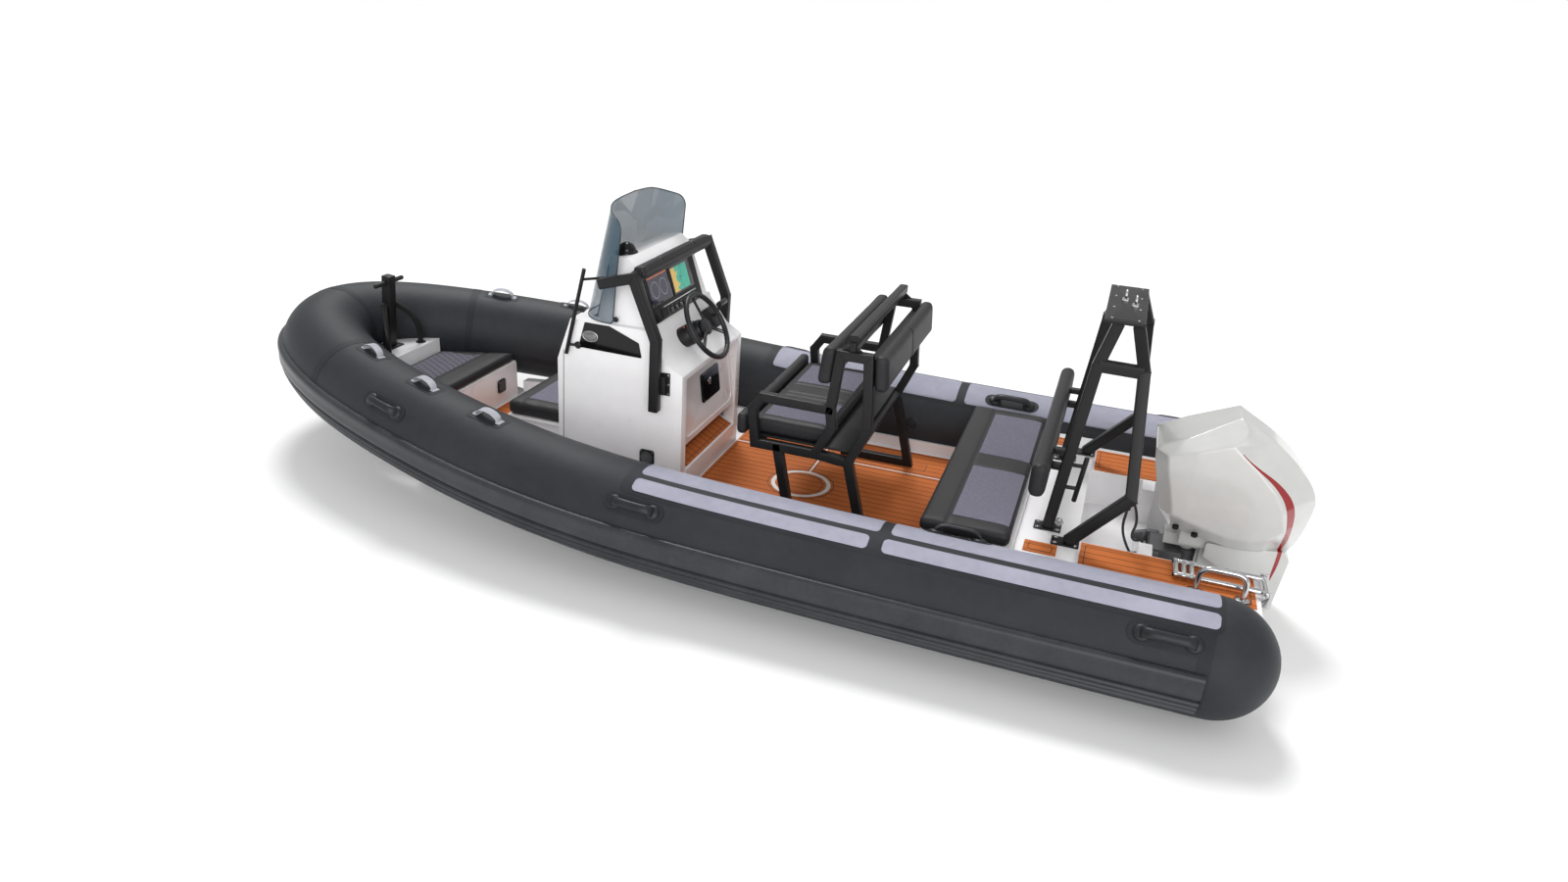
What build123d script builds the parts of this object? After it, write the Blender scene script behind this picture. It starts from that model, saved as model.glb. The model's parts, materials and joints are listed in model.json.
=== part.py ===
from build123d import *
import math
import os

os.makedirs("parts", exist_ok=True)

# Rigid inflatable boat, millimetres. +X forward, +Y port, +Z up.
# The origin is on the centreline at the transom, at the height of the waterline.

# ---------------------------------------------------------------- overall sizes
deck_z = 145            # cockpit floor above the waterline
keel_z = -380           # keel at the transom
collar_r = 246          # radius of the inflatable collar
collar_y = 974          # half distance between the side tubes' centrelines
collar_z = 259          # height of the side tubes' centreline aft
collar_aft = -250       # where the rounded tube end begins
bow_x = 4757            # collar centreline at the stem
bow_z = 567             # collar centreline height at the stem
skin_gap = 0.3          # clearance of soft and curved faces from what carries them
deck_t = 20             # laminate of the cockpit floor
wall_t = 8              # laminate of the mouldings

# ---------------------------------------------------------------- helpers


def side_plane(y):
    """Plane of a fore-and-aft section, local x forward and local y up."""
    return Plane(origin=(0, y, 0), x_dir=(1, 0, 0), z_dir=(0, -1, 0))


def cross_plane(x):
    """Plane of a transverse section, local x to port and local y up."""
    return Plane(origin=(x, 0, 0), x_dir=(0, 1, 0), z_dir=(1, 0, 0))


def side_block(points, y_centre, width, corner=0, mode=Mode.ADD):
    """Prism of a side outline (x, z), as wide as width about y_centre."""
    with BuildSketch(side_plane(y_centre)) as outline:
        with BuildLine():
            Polyline(*points, close=True)
        make_face()
        if corner:
            fillet(outline.vertices(), corner)
    extrude(outline.sketch, amount=width / 2, both=True, mode=mode)


def plan_block(points, z_low, height, corner=0, mode=Mode.ADD):
    """Prism of a plan outline (x, y) from z_low up."""
    with BuildSketch(Plane.XY.offset(z_low)) as outline:
        with BuildLine():
            Polyline(*points, close=True)
        make_face()
        if corner:
            fillet(outline.vertices(), corner)
    extrude(outline.sketch, amount=height, mode=mode)


def box_between(low, high, mode=Mode.ADD):
    """Box from its lowest corner to its highest corner."""
    with BuildSketch(Plane.XY.offset(low[2])) as base:
        with Locations(((low[0] + high[0]) / 2, (low[1] + high[1]) / 2)):
            Rectangle(high[0] - low[0], high[1] - low[1])
    extrude(base.sketch, amount=high[2] - low[2], mode=mode)


def rod(start, end, diameter, mode=Mode.ADD):
    """Round bar from point to point."""
    run = Vector(*end) - Vector(*start)
    with BuildSketch(Plane(origin=start, z_dir=run)) as section:
        Circle(diameter / 2)
    extrude(section.sketch, amount=run.length, mode=mode)


def square_bar(start, end, size, side=(0, 1, 0)):
    """Square bar from point to point, half its size longer at each end."""
    run = Vector(*end) - Vector(*start)
    unit = run.normalized()
    first = Vector(*start) - unit * (size / 2)
    with BuildSketch(Plane(origin=first, x_dir=Vector(*side).cross(unit), z_dir=unit)) as section:
        Rectangle(size, size)
    extrude(section.sketch, amount=run.length + size)


def square_frame(points, size, side=(0, 1, 0)):
    """Chain of square bars through the points."""
    for start, end in zip(points[:-1], points[1:]):
        square_bar(start, end, size, side)


def save(piece, label):
    """Label a finished piece and write its STEP file."""
    piece.part.label = label
    export_step(piece.part, "parts/" + label + ".step")


def mirrored(points):
    """Closed plan outline from its port half, listed from aft to forward."""
    return points + [(x, -y) for x, y in reversed(points)]


# ---------------------------------------------------------------- collar route
# corners of the port tube's centreline, aft to forward: x, y, z
collar_route = [
    (collar_aft, collar_y, collar_z),
    (1600, collar_y, collar_z + 3),
    (2795, collar_y, 339),
    (3898, 709, 451),
    (4492, 433, 529),
    (bow_x, 149, bow_z),
    (bow_x, 0, bow_z),
]


def bend_radii(route):
    """Largest tangent arc at each inner corner of a route."""
    radii = []
    for before, corner, after in zip(route[:-2], route[1:-1], route[2:]):
        run_in = Vector(*corner) - Vector(*before)
        run_out = Vector(*after) - Vector(*corner)
        turn = math.radians(run_in.get_angle(run_out))
        radii.append(0.45 * min(run_in.length, run_out.length) / math.tan(turn / 2))
    return radii


def middle(first, second):
    """Point half way between two points."""
    return tuple((a + b) / 2 for a, b in zip(first, second))


def to_starboard(route):
    """Mirror image of a route."""
    return [(x, -y, z) for x, y, z in route]


baffle = middle(collar_route[3], collar_route[4])    # seam between side and bow chambers
side_route = collar_route[:4] + [baffle]
bow_route = [baffle] + collar_route[4:6]
bow_route = bow_route + to_starboard(bow_route)[::-1]
collar_radii = bend_radii(collar_route[:6] + to_starboard(collar_route[5:6]))
bow_radii = [collar_radii[3], collar_radii[4], collar_radii[4], collar_radii[3]]


def collar_solid(route, radii, radius):
    """Tube of the collar along part of its route."""
    with BuildLine() as path:
        FilletPolyline(*route, radius=radii)
    with BuildSketch(Plane(origin=path.line @ 0, z_dir=path.line % 0)) as section:
        Circle(radius)
    sweep(section.sketch, path.line)


with BuildPart() as port_tube:
    collar_solid(side_route, collar_radii[:3], collar_r)
    with Locations(collar_route[0]):
        Sphere(collar_r)

with BuildPart() as starboard_tube:
    mirror(port_tube.part, about=Plane.XZ)

with BuildPart() as bow_tube:
    collar_solid(bow_route, bow_radii, collar_r)

save(port_tube, "port_tube")
save(starboard_tube, "starboard_tube")
save(bow_tube, "bow_tube")

# the collar with its clearance, cut from what lies against it
with BuildPart() as collar_room:
    collar_solid(side_route, collar_radii[:3], collar_r + skin_gap)
    with Locations(collar_route[0]):
        Sphere(collar_r + skin_gap)
    mirror(about=Plane.XZ)
    collar_solid(bow_route, bow_radii, collar_r + skin_gap)


# ---------------------------------------------------------------- rubbing strakes
strake_t = 26           # how far the fender stands out
strake_top = 76         # its upper edge, degrees round the tube from the top
strake_low = 122        # its lower edge
strake_aft = -215       # where it ends aft

strake_route = [(strake_aft, collar_y, collar_z)] + collar_route[1:]
strake_radii = bend_radii(collar_route[:6] + to_starboard(collar_route[5:6]))[:5]


def around(radius, degrees):
    """Point of a tube section, measured round from the top to the outboard side."""
    angle = math.radians(degrees)
    return (radius * math.sin(angle), radius * math.cos(angle))


with BuildPart() as port_rub_strake:
    with BuildLine() as strake_path:
        FilletPolyline(*strake_route, radius=strake_radii)
    start_plane = Plane(origin=strake_path.line @ 0, x_dir=(0, 1, 0), z_dir=strake_path.line % 0)
    with BuildSketch(start_plane) as strake_section:
        with BuildLine():
            inner_r = collar_r + skin_gap
            outer_r = collar_r + strake_t
            mid = (strake_top + strake_low) / 2
            inside = ThreePointArc(around(inner_r, strake_top), around(inner_r, mid),
                                   around(inner_r, strake_low))
            outside = ThreePointArc(around(outer_r, strake_top + 4), around(outer_r, mid),
                                    around(outer_r, strake_low - 4))
            Line(inside @ 0, outside @ 0)
            Line(inside @ 1, outside @ 1)
        make_face()
    sweep(strake_section.sketch, strake_path.line)

with BuildPart() as starboard_rub_strake:
    mirror(port_rub_strake.part, about=Plane.XZ)

with BuildPart() as rub_strakes:
    add(port_rub_strake.part)
    add(starboard_rub_strake.part)

save(rub_strakes, "rub_strakes")

# ---------------------------------------------------------------- hull
hull_top = deck_z - deck_t
# sections, aft to forward: x, keel z, chine y, chine z, side y, side z
hull_sections = [
    (0, keel_z, 830, -45, 800, hull_top),
    (1500, keel_z, 835, -40, 800, hull_top),
    (2800, keel_z + 15, 800, 5, 790, hull_top),
    (3600, keel_z + 85, 640, 80, 640, hull_top),
    (3800, keel_z + 145, 570, 112, 570, hull_top),
    (4200, -130, 400, 225, 400, hull_top + 150),
    (4600, 200, 90, 335, 90, hull_top + 250),
]
transom_t = 60          # transom board
transom_top = 175       # where the motor hangs
motor_half = 300        # half width of the motor notch

with BuildPart() as hull:
    for x, keel, chine_y, chine_z, side_y, side_z in hull_sections:
        with BuildSketch(cross_plane(x)):
            with BuildLine():
                Polyline((0, keel), (chine_y, chine_z), (side_y, side_z),
                         (-side_y, side_z), (-chine_y, chine_z), close=True)
            make_face()
    loft(ruled=True)
    box_between((0, -motor_half, hull_top - 5), (transom_t, motor_half, transom_top))
    add(collar_room.part, mode=Mode.SUBTRACT)

save(hull, "hull")

# ---------------------------------------------------------------- deck liner
floor_aft = 577         # aft end of the cockpit floor, at the bench
floor_fwd = 3800        # forward end, at the bow locker
margin_h = 70           # upstand that meets the collar
margin_w = 60

with BuildPart() as deck_liner:
    floor_outline = mirrored([(floor_aft, 790), (2800, 780), (3600, 620), (floor_fwd, 590)])
    plan_block(floor_outline, hull_top, deck_t)
    rim_outer = mirrored([(1000, 775), (2700, 775), (3500, 640), (floor_fwd, 560)])
    rim_inner = mirrored([(1000, 775 - margin_w), (2700, 775 - margin_w),
                          (3500, 640 - margin_w), (floor_fwd, 560 - margin_w)])
    plan_block(rim_outer, deck_z, margin_h)
    plan_block(rim_inner, deck_z, margin_h, mode=Mode.SUBTRACT)
    add(collar_room.part, mode=Mode.SUBTRACT)

save(deck_liner, "deck_liner")

# ---------------------------------------------------------------- bow locker
locker_aft = 3800
locker_fwd = 4245
locker_aft_half = 430
locker_fwd_half = 262
locker_top = 362
lid_t = 15
bow_pad_t = 62

with BuildPart() as bow_locker:
    locker_outline = mirrored([(locker_aft, locker_aft_half), (locker_fwd, locker_fwd_half)])
    locker_inside = mirrored([(locker_aft + wall_t, locker_aft_half - 40),
                              (locker_fwd - wall_t, locker_fwd_half - 30)])
    plan_block(locker_outline, deck_z, locker_top - deck_z)
    plan_block(locker_inside, deck_z + deck_t, locker_top - deck_z, mode=Mode.SUBTRACT)
    # raised bow deck ahead of the locker
    bow_deck = mirrored([(locker_fwd, locker_fwd_half), (4440, 170), (4490, 90)])
    plan_block(bow_deck, 300, 200)
    box_between((locker_aft, -locker_aft_half, hull_top + 2), (locker_fwd, locker_aft_half, deck_z))
    add(collar_room.part, mode=Mode.SUBTRACT)
    add(hull.part, mode=Mode.SUBTRACT)

save(bow_locker, "bow_locker")

lid_gap = 3             # room round a hinged lid

with BuildPart() as bow_locker_lid:
    plan_block(mirrored([(locker_aft + 1, locker_aft_half - lid_gap),
                         (locker_fwd - 6, locker_fwd_half - lid_gap)]), locker_top + skin_gap, lid_t)

with BuildPart() as bow_cushion:
    plan_block(mirrored([(locker_aft - 8, locker_aft_half - 8), (locker_fwd - 10, locker_fwd_half - 14)]),
               locker_top + lid_t + 2 * skin_gap, bow_pad_t, corner=30)
    fillet(bow_cushion.faces().sort_by(Axis.Z)[-1].edges(), 14)

save(bow_locker_lid, "bow_locker_lid")
save(bow_cushion, "bow_cushion")

# ---------------------------------------------------------------- bow post
post_size = 60
post_foot = (4412, 0, 500)
post_head = (4372, 0, 940)
brace_d = 32
brace_foot = (4300, 150, 500)

with BuildPart() as bow_post:
    side_block([(post_foot[0] - post_size / 2, post_foot[2]), (post_foot[0] + post_size / 2, post_foot[2]),
                (post_head[0] + post_size / 2, post_head[2]), (post_head[0] - post_size / 2, post_head[2])],
               0, post_size)
    rod((4374, -125, 902), (4374, 125, 902), 26)
    box_between((4352, -60, 500), (4472, 60, 508))

    for side in (1, -1):
        route = [(4388, side * 46, 762), (4330, side * 120, 690), (brace_foot[0], side * brace_foot[1], 600),
                 (brace_foot[0], side * brace_foot[1], brace_foot[2])]
        with BuildLine() as brace_path:
            FilletPolyline(*route, radius=[90, 120])
        with BuildSketch(Plane(origin=brace_path.line @ 0, z_dir=brace_path.line % 0)) as brace_section:
            Circle(brace_d / 2)
        sweep(brace_section.sketch, brace_path.line)
        rod((4388, side * 20, 770), (4388, side * 56, 758), brace_d + 6)

save(bow_post, "bow_post")

# ---------------------------------------------------------------- console
console_half = 410
console_aft = 2295
console_fwd = 3012
shoulder_z = 1010       # ledge that carries the windscreen
shelf_z = 800           # top of the lower aft face
helm_low = (2384, 852)  # foot of the helm face
dash_low = (2488, 985)  # foot of the instrument face
dash_high = (2592, 1300)
front_high = (2856, shoulder_z)
ledge_fwd = 2922        # front edge of the ledge under the windscreen
front_low = (3003, 785)
# side outline of the moulding, from the aft foot round to the forward foot: x, z
console_outline = [
    (console_aft, deck_z), (console_aft, shelf_z), helm_low, dash_low, dash_high,
    (2640, 1338), (2740, 1325), (2800, 1250), front_high, (ledge_fwd, shoulder_z), front_low,
    (console_fwd, deck_z),
]
# inside of the walls, with the recessed panel: x, z
console_inside = [
    (2358, deck_z), (2358, 770), (2392, 846), (2500, 985), (2600, 1290), (2645, 1326), (2735, 1313),
    (2790, 1245), (2846, shoulder_z - wall_t), (ledge_fwd - 6, shoulder_z - wall_t), (2994, 782),
    (console_fwd - wall_t, deck_z),
]
# half width of the moulding against height: y, z
console_front = [
    (console_half, deck_z), (console_half, shoulder_z), (372, shoulder_z), (325, 1345),
    (-325, 1345), (-372, shoulder_z), (-console_half, shoulder_z), (-console_half, deck_z),
]
recess_half = 350       # half width of the recess in the aft face
panel_low = (2303, 400)     # recessed panel, foot and top
panel_high = (2350, 770)
foot_well_fwd = 2470    # foot well under the panel
hatch_w = 236           # glovebox door
hatch_h = 158
hatch_t = 12
hatch_y = -38
hatch_z = 618
hatch_lip = 10          # how far the door laps its opening


def on_line(low, high, z):
    """x on the line through two (x, z) points at the height z."""
    return low[0] + (high[0] - low[0]) * (z - low[1]) / (high[1] - low[1])


def face_plane(low, high, y, z, lift=0.0):
    """Plane on a sloping aft-looking face, local x to starboard, local y up the slope."""
    slope = Vector(high[0] - low[0], 0, high[1] - low[1]).normalized()
    outward = Vector(-slope.Z, 0, slope.X)
    centre = Vector(on_line(low, high, z), y, z) + outward * lift
    return Plane(origin=centre, x_dir=(0, -1, 0), z_dir=outward)


hatch_plane = face_plane(panel_low, panel_high, hatch_y, hatch_z)

crown_corner = 185      # plan radius of the crown's front corners
crown_rake = (-0.233, 0, 1)

# what is cut away round the crown, above the ledge
with BuildPart() as ledge_room:
    with BuildSketch(Plane.XY.offset(shoulder_z)) as crown_plan:
        with Locations((2800, 0)):
            Rectangle(700, 1000)
        with BuildSketch(Plane.XY, mode=Mode.PRIVATE) as crown_core:
            with BuildLine():
                Polyline((2300, 400), (front_high[0] + 1, 374), (front_high[0] + 1, -374), (2300, -400),
                         close=True)
            make_face()
            fillet(crown_core.vertices().group_by(Axis.X)[-1], crown_corner)
        add(crown_core.sketch, mode=Mode.SUBTRACT)
        with Locations((2400, 0)):
            Rectangle(440, 1000, mode=Mode.SUBTRACT)
    extrude(crown_plan.sketch, amount=340, dir=crown_rake)

with BuildPart() as console_shell:
    side_block(console_outline, 0, 2 * console_half)
    with BuildSketch(cross_plane(console_aft)) as front_view:
        with BuildLine():
            Polyline(*console_front, close=True)
        make_face()
    extrude(front_view.sketch, amount=console_fwd - console_aft, mode=Mode.INTERSECT)
    side_block(console_inside, 0, 2 * (325 - 12), mode=Mode.SUBTRACT)
    side_block([(2358, deck_z), (2358, 790), (2990, 790), (console_fwd - wall_t, deck_z)],
               0, 2 * (console_half - wall_t), mode=Mode.SUBTRACT)
    add(ledge_room.part, mode=Mode.SUBTRACT)
    side_block([(console_aft - 20, panel_low[1]), panel_low, panel_high, (console_aft - 20, panel_high[1])],
               0, 2 * recess_half, mode=Mode.SUBTRACT)
    box_between((console_aft - 1, -recess_half, deck_z), (foot_well_fwd, recess_half, panel_low[1] + 0.01),
                mode=Mode.SUBTRACT)
    with BuildSketch(hatch_plane.offset(-60)) as hatch_hole:
        Rectangle(hatch_w - 2 * hatch_lip, hatch_h - 2 * hatch_lip)
    extrude(hatch_hole.sketch, amount=80, mode=Mode.SUBTRACT)

# angled footrest in the recess: x, z
footrest_outline = [
    (console_aft - 6, deck_z), (console_aft - 6, 268), (2400, 322), (foot_well_fwd - 1, 322),
    (foot_well_fwd - 1, deck_z),
]
with BuildPart() as console_footrest:
    side_block(footrest_outline, 0, 2 * (recess_half + 0.5))

# glovebox tub behind its door
tub_d = 110
with BuildPart() as glovebox:
    with BuildSketch(hatch_plane.offset(-tub_d - 14)) as tub_outside:
        Rectangle(hatch_w - 2 * hatch_lip + 1, hatch_h - 2 * hatch_lip + 1)
    extrude(tub_outside.sketch, amount=tub_d + 8)
    with BuildSketch(hatch_plane.offset(-tub_d - 8)) as tub_inside:
        Rectangle(hatch_w - 2 * hatch_lip - 12, hatch_h - 2 * hatch_lip - 12)
    extrude(tub_inside.sketch, amount=tub_d + 8, mode=Mode.SUBTRACT)

with BuildPart() as console:
    add(console_shell.part)
    add(console_footrest.part)
    add(glovebox.part)

save(console, "console")

with BuildPart() as glovebox_door:
    with BuildSketch(hatch_plane.offset(skin_gap)) as door_face:
        RectangleRounded(hatch_w, hatch_h, 14)
    extrude(door_face.sketch, amount=hatch_t)

save(glovebox_door, "glovebox_door")

# instruments
dash_t = 8
dash_mid_z = 1140
dash_plane = face_plane(dash_low, dash_high, 0, dash_mid_z)
display_w = 258
display_h = 158
display_y = (192, -80)

with BuildPart() as dash_panel:
    with BuildSketch(dash_plane.offset(skin_gap)) as dash_face:
        Rectangle(590, 270)
    extrude(dash_face.sketch, amount=dash_t)
    with BuildSketch(dash_plane.offset(skin_gap + dash_t)) as switch_face:
        with Locations((-20, -104)):
            RectangleRounded(400, 44, 6)
    extrude(switch_face.sketch, amount=6)

with BuildPart() as displays:
    with BuildSketch(dash_plane.offset(skin_gap + dash_t)) as display_faces:
        with Locations(*[(-y, 28) for y in display_y]):
            RectangleRounded(display_w, display_h, 8)
    extrude(display_faces.sketch, amount=12)

save(dash_panel, "dash_panel")
save(displays, "displays")

# side panels with the navigation lights: x, z
gloss_outline = [(2878, 868), (2838, 1004), (2700, 1004), (2536, 940), (2519, 864)]
with BuildPart() as gloss_panels:
    for side in (1, -1):
        side_block(gloss_outline, side * (console_half + skin_gap + 3), 6, corner=6)

with BuildPart() as navigation_lights:
    for side in (1, -1):
        lens_y = side * (console_half + skin_gap + 6)
        with BuildSketch(side_plane(lens_y + side * 7)) as lens:
            with Locations((2806, 935)):
                Ellipse(44, 28)
        extrude(lens.sketch, amount=7, both=True)

speaker_w = 84
with BuildPart() as speakers:
    for side in (1, -1):
        low_y, high_y = sorted((side * (console_half + skin_gap), side * (console_half + 12)))
        box_between((2443, low_y, 285), (2443 + speaker_w, high_y, 285 + speaker_w))
        low_y, high_y = sorted((side * 206, side * (206 + speaker_w)))
        box_between((locker_aft - 12, low_y, 225), (locker_aft - skin_gap, high_y, 225 + speaker_w))

save(gloss_panels, "gloss_panels")
save(navigation_lights, "navigation_lights")
save(speakers, "speakers")

# compass on the roof
compass_at = (2700, 215, 1331)
with BuildPart() as compass:
    with BuildSketch(Plane.XY.offset(compass_at[2] - 30)) as compass_base:
        with Locations(compass_at[:2]):
            Circle(58)
    extrude(compass_base.sketch, amount=46)
    with Locations((compass_at[0], compass_at[1], compass_at[2] + 16)):
        Sphere(44, arc_size1=0, arc_size2=90)
    side_block([(x, z + skin_gap) for x, z in console_outline], 0, 2 * console_half, mode=Mode.SUBTRACT)

save(compass, "compass")

# ---------------------------------------------------------------- windscreen
glass_t = 6
glass_half = 392
glass_fwd = 2905        # front of the sheet at the ledge
glass_corner = 235
glass_rake = (-0.242, 0, 1)
glass_low = shoulder_z + skin_gap
# side outline of the bent sheet: x, z
glass_outline = [
    (2640, glass_low), (2930, glass_low), (2800, 1604), (2755, 1604), (2650, 1525), (2618, 1440),
]


def glass_prism(grow):
    """Raked prism within the sheet's outer face, grown by grow."""
    with BuildSketch(Plane.XY.offset(glass_low)) as glass_plan:
        with BuildLine():
            Polyline((2300, glass_half + grow), (glass_fwd + grow, glass_half + grow),
                     (glass_fwd + grow, -glass_half - grow), (2300, -glass_half - grow), close=True)
        make_face()
        fillet(glass_plan.vertices().group_by(Axis.X)[-1], glass_corner + grow)
    extrude(glass_plan.sketch, amount=640, dir=glass_rake)


with BuildPart() as glass_core:
    glass_prism(-glass_t)

with BuildPart() as glass_room:
    glass_prism(skin_gap)

with BuildPart() as windscreen:
    glass_prism(0)
    add(glass_core.part, mode=Mode.SUBTRACT)
    side_block(glass_outline, 0, 2 * glass_half + 10, mode=Mode.INTERSECT)

save(windscreen, "windscreen")

# handrail ahead of the windscreen, port side
rail_y = 426
rail_high = (2829, rail_y, 1280)
rail_low = (2942, rail_y, 826)
with BuildPart() as windscreen_rail:
    rod(rail_high, rail_low, 20)
    rod((2842, rail_y, 1226), (2740, 320, 1226), 14)
    rod((2929, rail_y, 876), (2880, console_half + skin_gap, 876), 14)
    add(glass_room.part, mode=Mode.SUBTRACT)
    box_between((2700, 380, 800), (3000, console_half + skin_gap, 940), mode=Mode.SUBTRACT)

save(windscreen_rail, "windscreen_rail")

# ---------------------------------------------------------------- console grab frame
frame_size = 50
frame_y = 462
# one side of the frame, from its foot up and over: x, z
grab_side = [(2424, 640), (2418, 985), (2540, 1282)]
grab_stub = (2700, 1236)

with BuildPart() as grab_frame:
    for side in (1, -1):
        points = [(x, side * frame_y, z) for x, z in grab_side]
        square_frame(points, frame_size)
        square_bar(points[-1], (grab_stub[0], side * frame_y, grab_stub[1]), frame_size)
        low_y, high_y = sorted((side * console_half, side * (frame_y - 10)))
        box_between((2360, low_y, 690), (2440, high_y, 810))
    square_bar((grab_side[-1][0], -frame_y, grab_side[-1][1]), (grab_side[-1][0], frame_y, grab_side[-1][1]),
               frame_size, side=(0, 0, 1))

roll_fwd = 2572
roll_aft = 2494
roll_low = 1262
roll_high = 1332
roll_half = 424
with BuildPart() as grab_roll:
    with BuildSketch(side_plane(0)) as roll_section:
        with Locations(((roll_fwd + roll_aft) / 2, (roll_low + roll_high) / 2)):
            RectangleRounded(roll_fwd - roll_aft, roll_high - roll_low, 26)
    extrude(roll_section.sketch, amount=roll_half, both=True)
    bar_room = frame_size / 2 + skin_gap
    box_between((grab_side[-1][0] - bar_room, -frame_y, roll_low - 1),
                (grab_side[-1][0] + bar_room, frame_y, grab_side[-1][1] + bar_room), mode=Mode.SUBTRACT)

save(grab_frame, "console_grab_frame")
save(grab_roll, "grab_roll")

# ---------------------------------------------------------------- steering wheel and throttle
wheel_at = (2293, 110, 986)
wheel_tilt = 33             # lean of the wheel from upright
rim_r = 172
rim_d = 28
lean = math.radians(wheel_tilt)
wheel_normal = Vector(-math.cos(lean), 0, math.sin(lean))
wheel_plane = Plane(origin=wheel_at, x_dir=(0, -1, 0), z_dir=wheel_normal)

with BuildPart() as steering_wheel:
    with Locations(wheel_plane):
        Torus(rim_r, rim_d / 2)
    with BuildSketch(wheel_plane.offset(-22)) as wheel_hub:
        Circle(44)
    extrude(wheel_hub.sketch, amount=26)
    with BuildSketch(wheel_plane.offset(-6)) as wheel_spokes:
        with PolarLocations(rim_r / 2, 3, start_angle=90):
            Rectangle(rim_r, 22)
    extrude(wheel_spokes.sketch, amount=12)

boss_d = 112
boss_back = Vector(*wheel_at) - wheel_normal * (22 + skin_gap)
with BuildPart() as helm_boss:
    with BuildSketch(Plane(origin=boss_back, z_dir=-wheel_normal)) as boss_section:
        Circle(boss_d / 2)
    extrude(boss_section.sketch, amount=200)
    side_block(console_outline, 0, 2 * console_half, mode=Mode.SUBTRACT)
    box_between((console_aft, -console_half, 600), (2700, console_half, shelf_z), mode=Mode.SUBTRACT)

with BuildPart() as throttle:
    throttle_plane = face_plane(helm_low, dash_low, -235, 905)
    with BuildSketch(throttle_plane.offset(skin_gap)) as throttle_base:
        RectangleRounded(90, 120, 20)
    extrude(throttle_base.sketch, amount=45)
    lever_foot = throttle_plane.from_local_coords((0, 0, 40))
    rod(tuple(lever_foot), (2352, -235, 1010), 18)
    rod((2352, -282, 1012), (2352, -188, 1012), 30)

save(steering_wheel, "steering_wheel")
save(helm_boss, "helm_boss")
save(throttle, "throttle")

# ---------------------------------------------------------------- forward seat on the console
front_seat_aft = console_fwd + 2
front_seat_fwd = 3395
front_seat_half = 330
front_seat_top = 352
front_pad_t = 82

with BuildPart() as front_seat_box:
    box_between((front_seat_aft, -front_seat_half + 40, deck_z),
                (front_seat_fwd - 12, front_seat_half - 40, front_seat_top))
    box_between((front_seat_aft + wall_t, -front_seat_half + 40 + wall_t, deck_z + wall_t),
                (front_seat_fwd - 12 - wall_t, front_seat_half - 40 - wall_t, front_seat_top + 1),
                mode=Mode.SUBTRACT)

with BuildPart() as front_seat_lid:
    box_between((front_seat_aft + 4, -front_seat_half + 6, front_seat_top + skin_gap),
                (front_seat_fwd - 10, front_seat_half - 6, front_seat_top + skin_gap + lid_t))

with BuildPart() as front_seat_cushion:
    plan_block([(front_seat_aft + 12, front_seat_half), (front_seat_fwd, front_seat_half),
                (front_seat_fwd, -front_seat_half), (front_seat_aft + 12, -front_seat_half)],
               front_seat_top + lid_t + 2 * skin_gap, front_pad_t, corner=40)
    fillet(front_seat_cushion.faces().sort_by(Axis.Z)[-1].edges(), 18)

save(front_seat_box, "front_seat_box")
save(front_seat_lid, "front_seat_lid")
save(front_seat_cushion, "front_seat_cushion")

# ---------------------------------------------------------------- helm seat
seat_tube = 45
seat_y = 500
floor_bar_z = deck_z + seat_tube / 2
# the side frame: rear leg and back, armrest loop, front leg, floor bar, each as x, z
rear_leg = [(1285, floor_bar_z), (1395, 562), (1318, 745), (1345, 1085)]
top_bar = [(1345, 1085), (1472, 1085)]
front_upright = [(1475, 1085), (1503, 812)]
armrest = [(1503, 812), (1840, 815), (1885, 750), (1862, 575), (1560, 575), (1487, 722), (1503, 812)]
front_leg = [(1655, floor_bar_z), (1748, 575)]
floor_bar = [(1285, floor_bar_z), (1655, floor_bar_z)]
seat_rail = [(1395, 562), (1560, 575)]


def seat_side(side):
    """One welded side frame of the helm seat."""
    for chain in (rear_leg, top_bar, front_upright, armrest, front_leg, floor_bar, seat_rail):
        square_frame([(x, side * seat_y, z) for x, z in chain], seat_tube)
    box_between((1200, -600, deck_z - 60), (1800, 600, deck_z), mode=Mode.SUBTRACT)


with BuildPart() as port_seat_frame:
    seat_side(1)

with BuildPart() as starboard_seat_frame:
    seat_side(-1)

rail_x = 1424
rail_z = 1157
seat_in = seat_y - seat_tube / 2
with BuildPart() as seat_handrail:
    square_bar((rail_x, -seat_y + seat_tube / 2, rail_z), (rail_x, seat_y - seat_tube / 2, rail_z), seat_tube,
               side=(0, 0, 1))
    for side in (1, -1):
        low_y, high_y = sorted((side * (seat_y - 14), side * (seat_y + 14)))
        box_between((rail_x - 14, low_y, 1085 + seat_tube / 2), (rail_x + 14, high_y, rail_z))
    # cross tubes between the side frames
    for x, z in ((1350, 1040), (1388, 575), (1848, 580)):
        box_between((x - 16, -seat_in, z - 16), (x + 16, seat_in, z + 16))

pan_z = 598
with BuildPart() as helm_seat_pan:
    box_between((1400, -seat_in, pan_z), (1905, seat_in, pan_z + 12))

seat_pad_z = pan_z + 12 + skin_gap
with BuildPart() as helm_seat_cushion:
    box_between((1512, -seat_in + 6, seat_pad_z), (1909, seat_in - 6, 690))
    fillet(helm_seat_cushion.faces().sort_by(Axis.Z)[-1].edges(), 20)

with BuildPart() as helm_bolster:
    box_between((1909.6, -seat_y - 18, 598), (1968, seat_y + 18, 715))
    fillet(helm_bolster.edges().filter_by(Axis.Y), 24)


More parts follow.
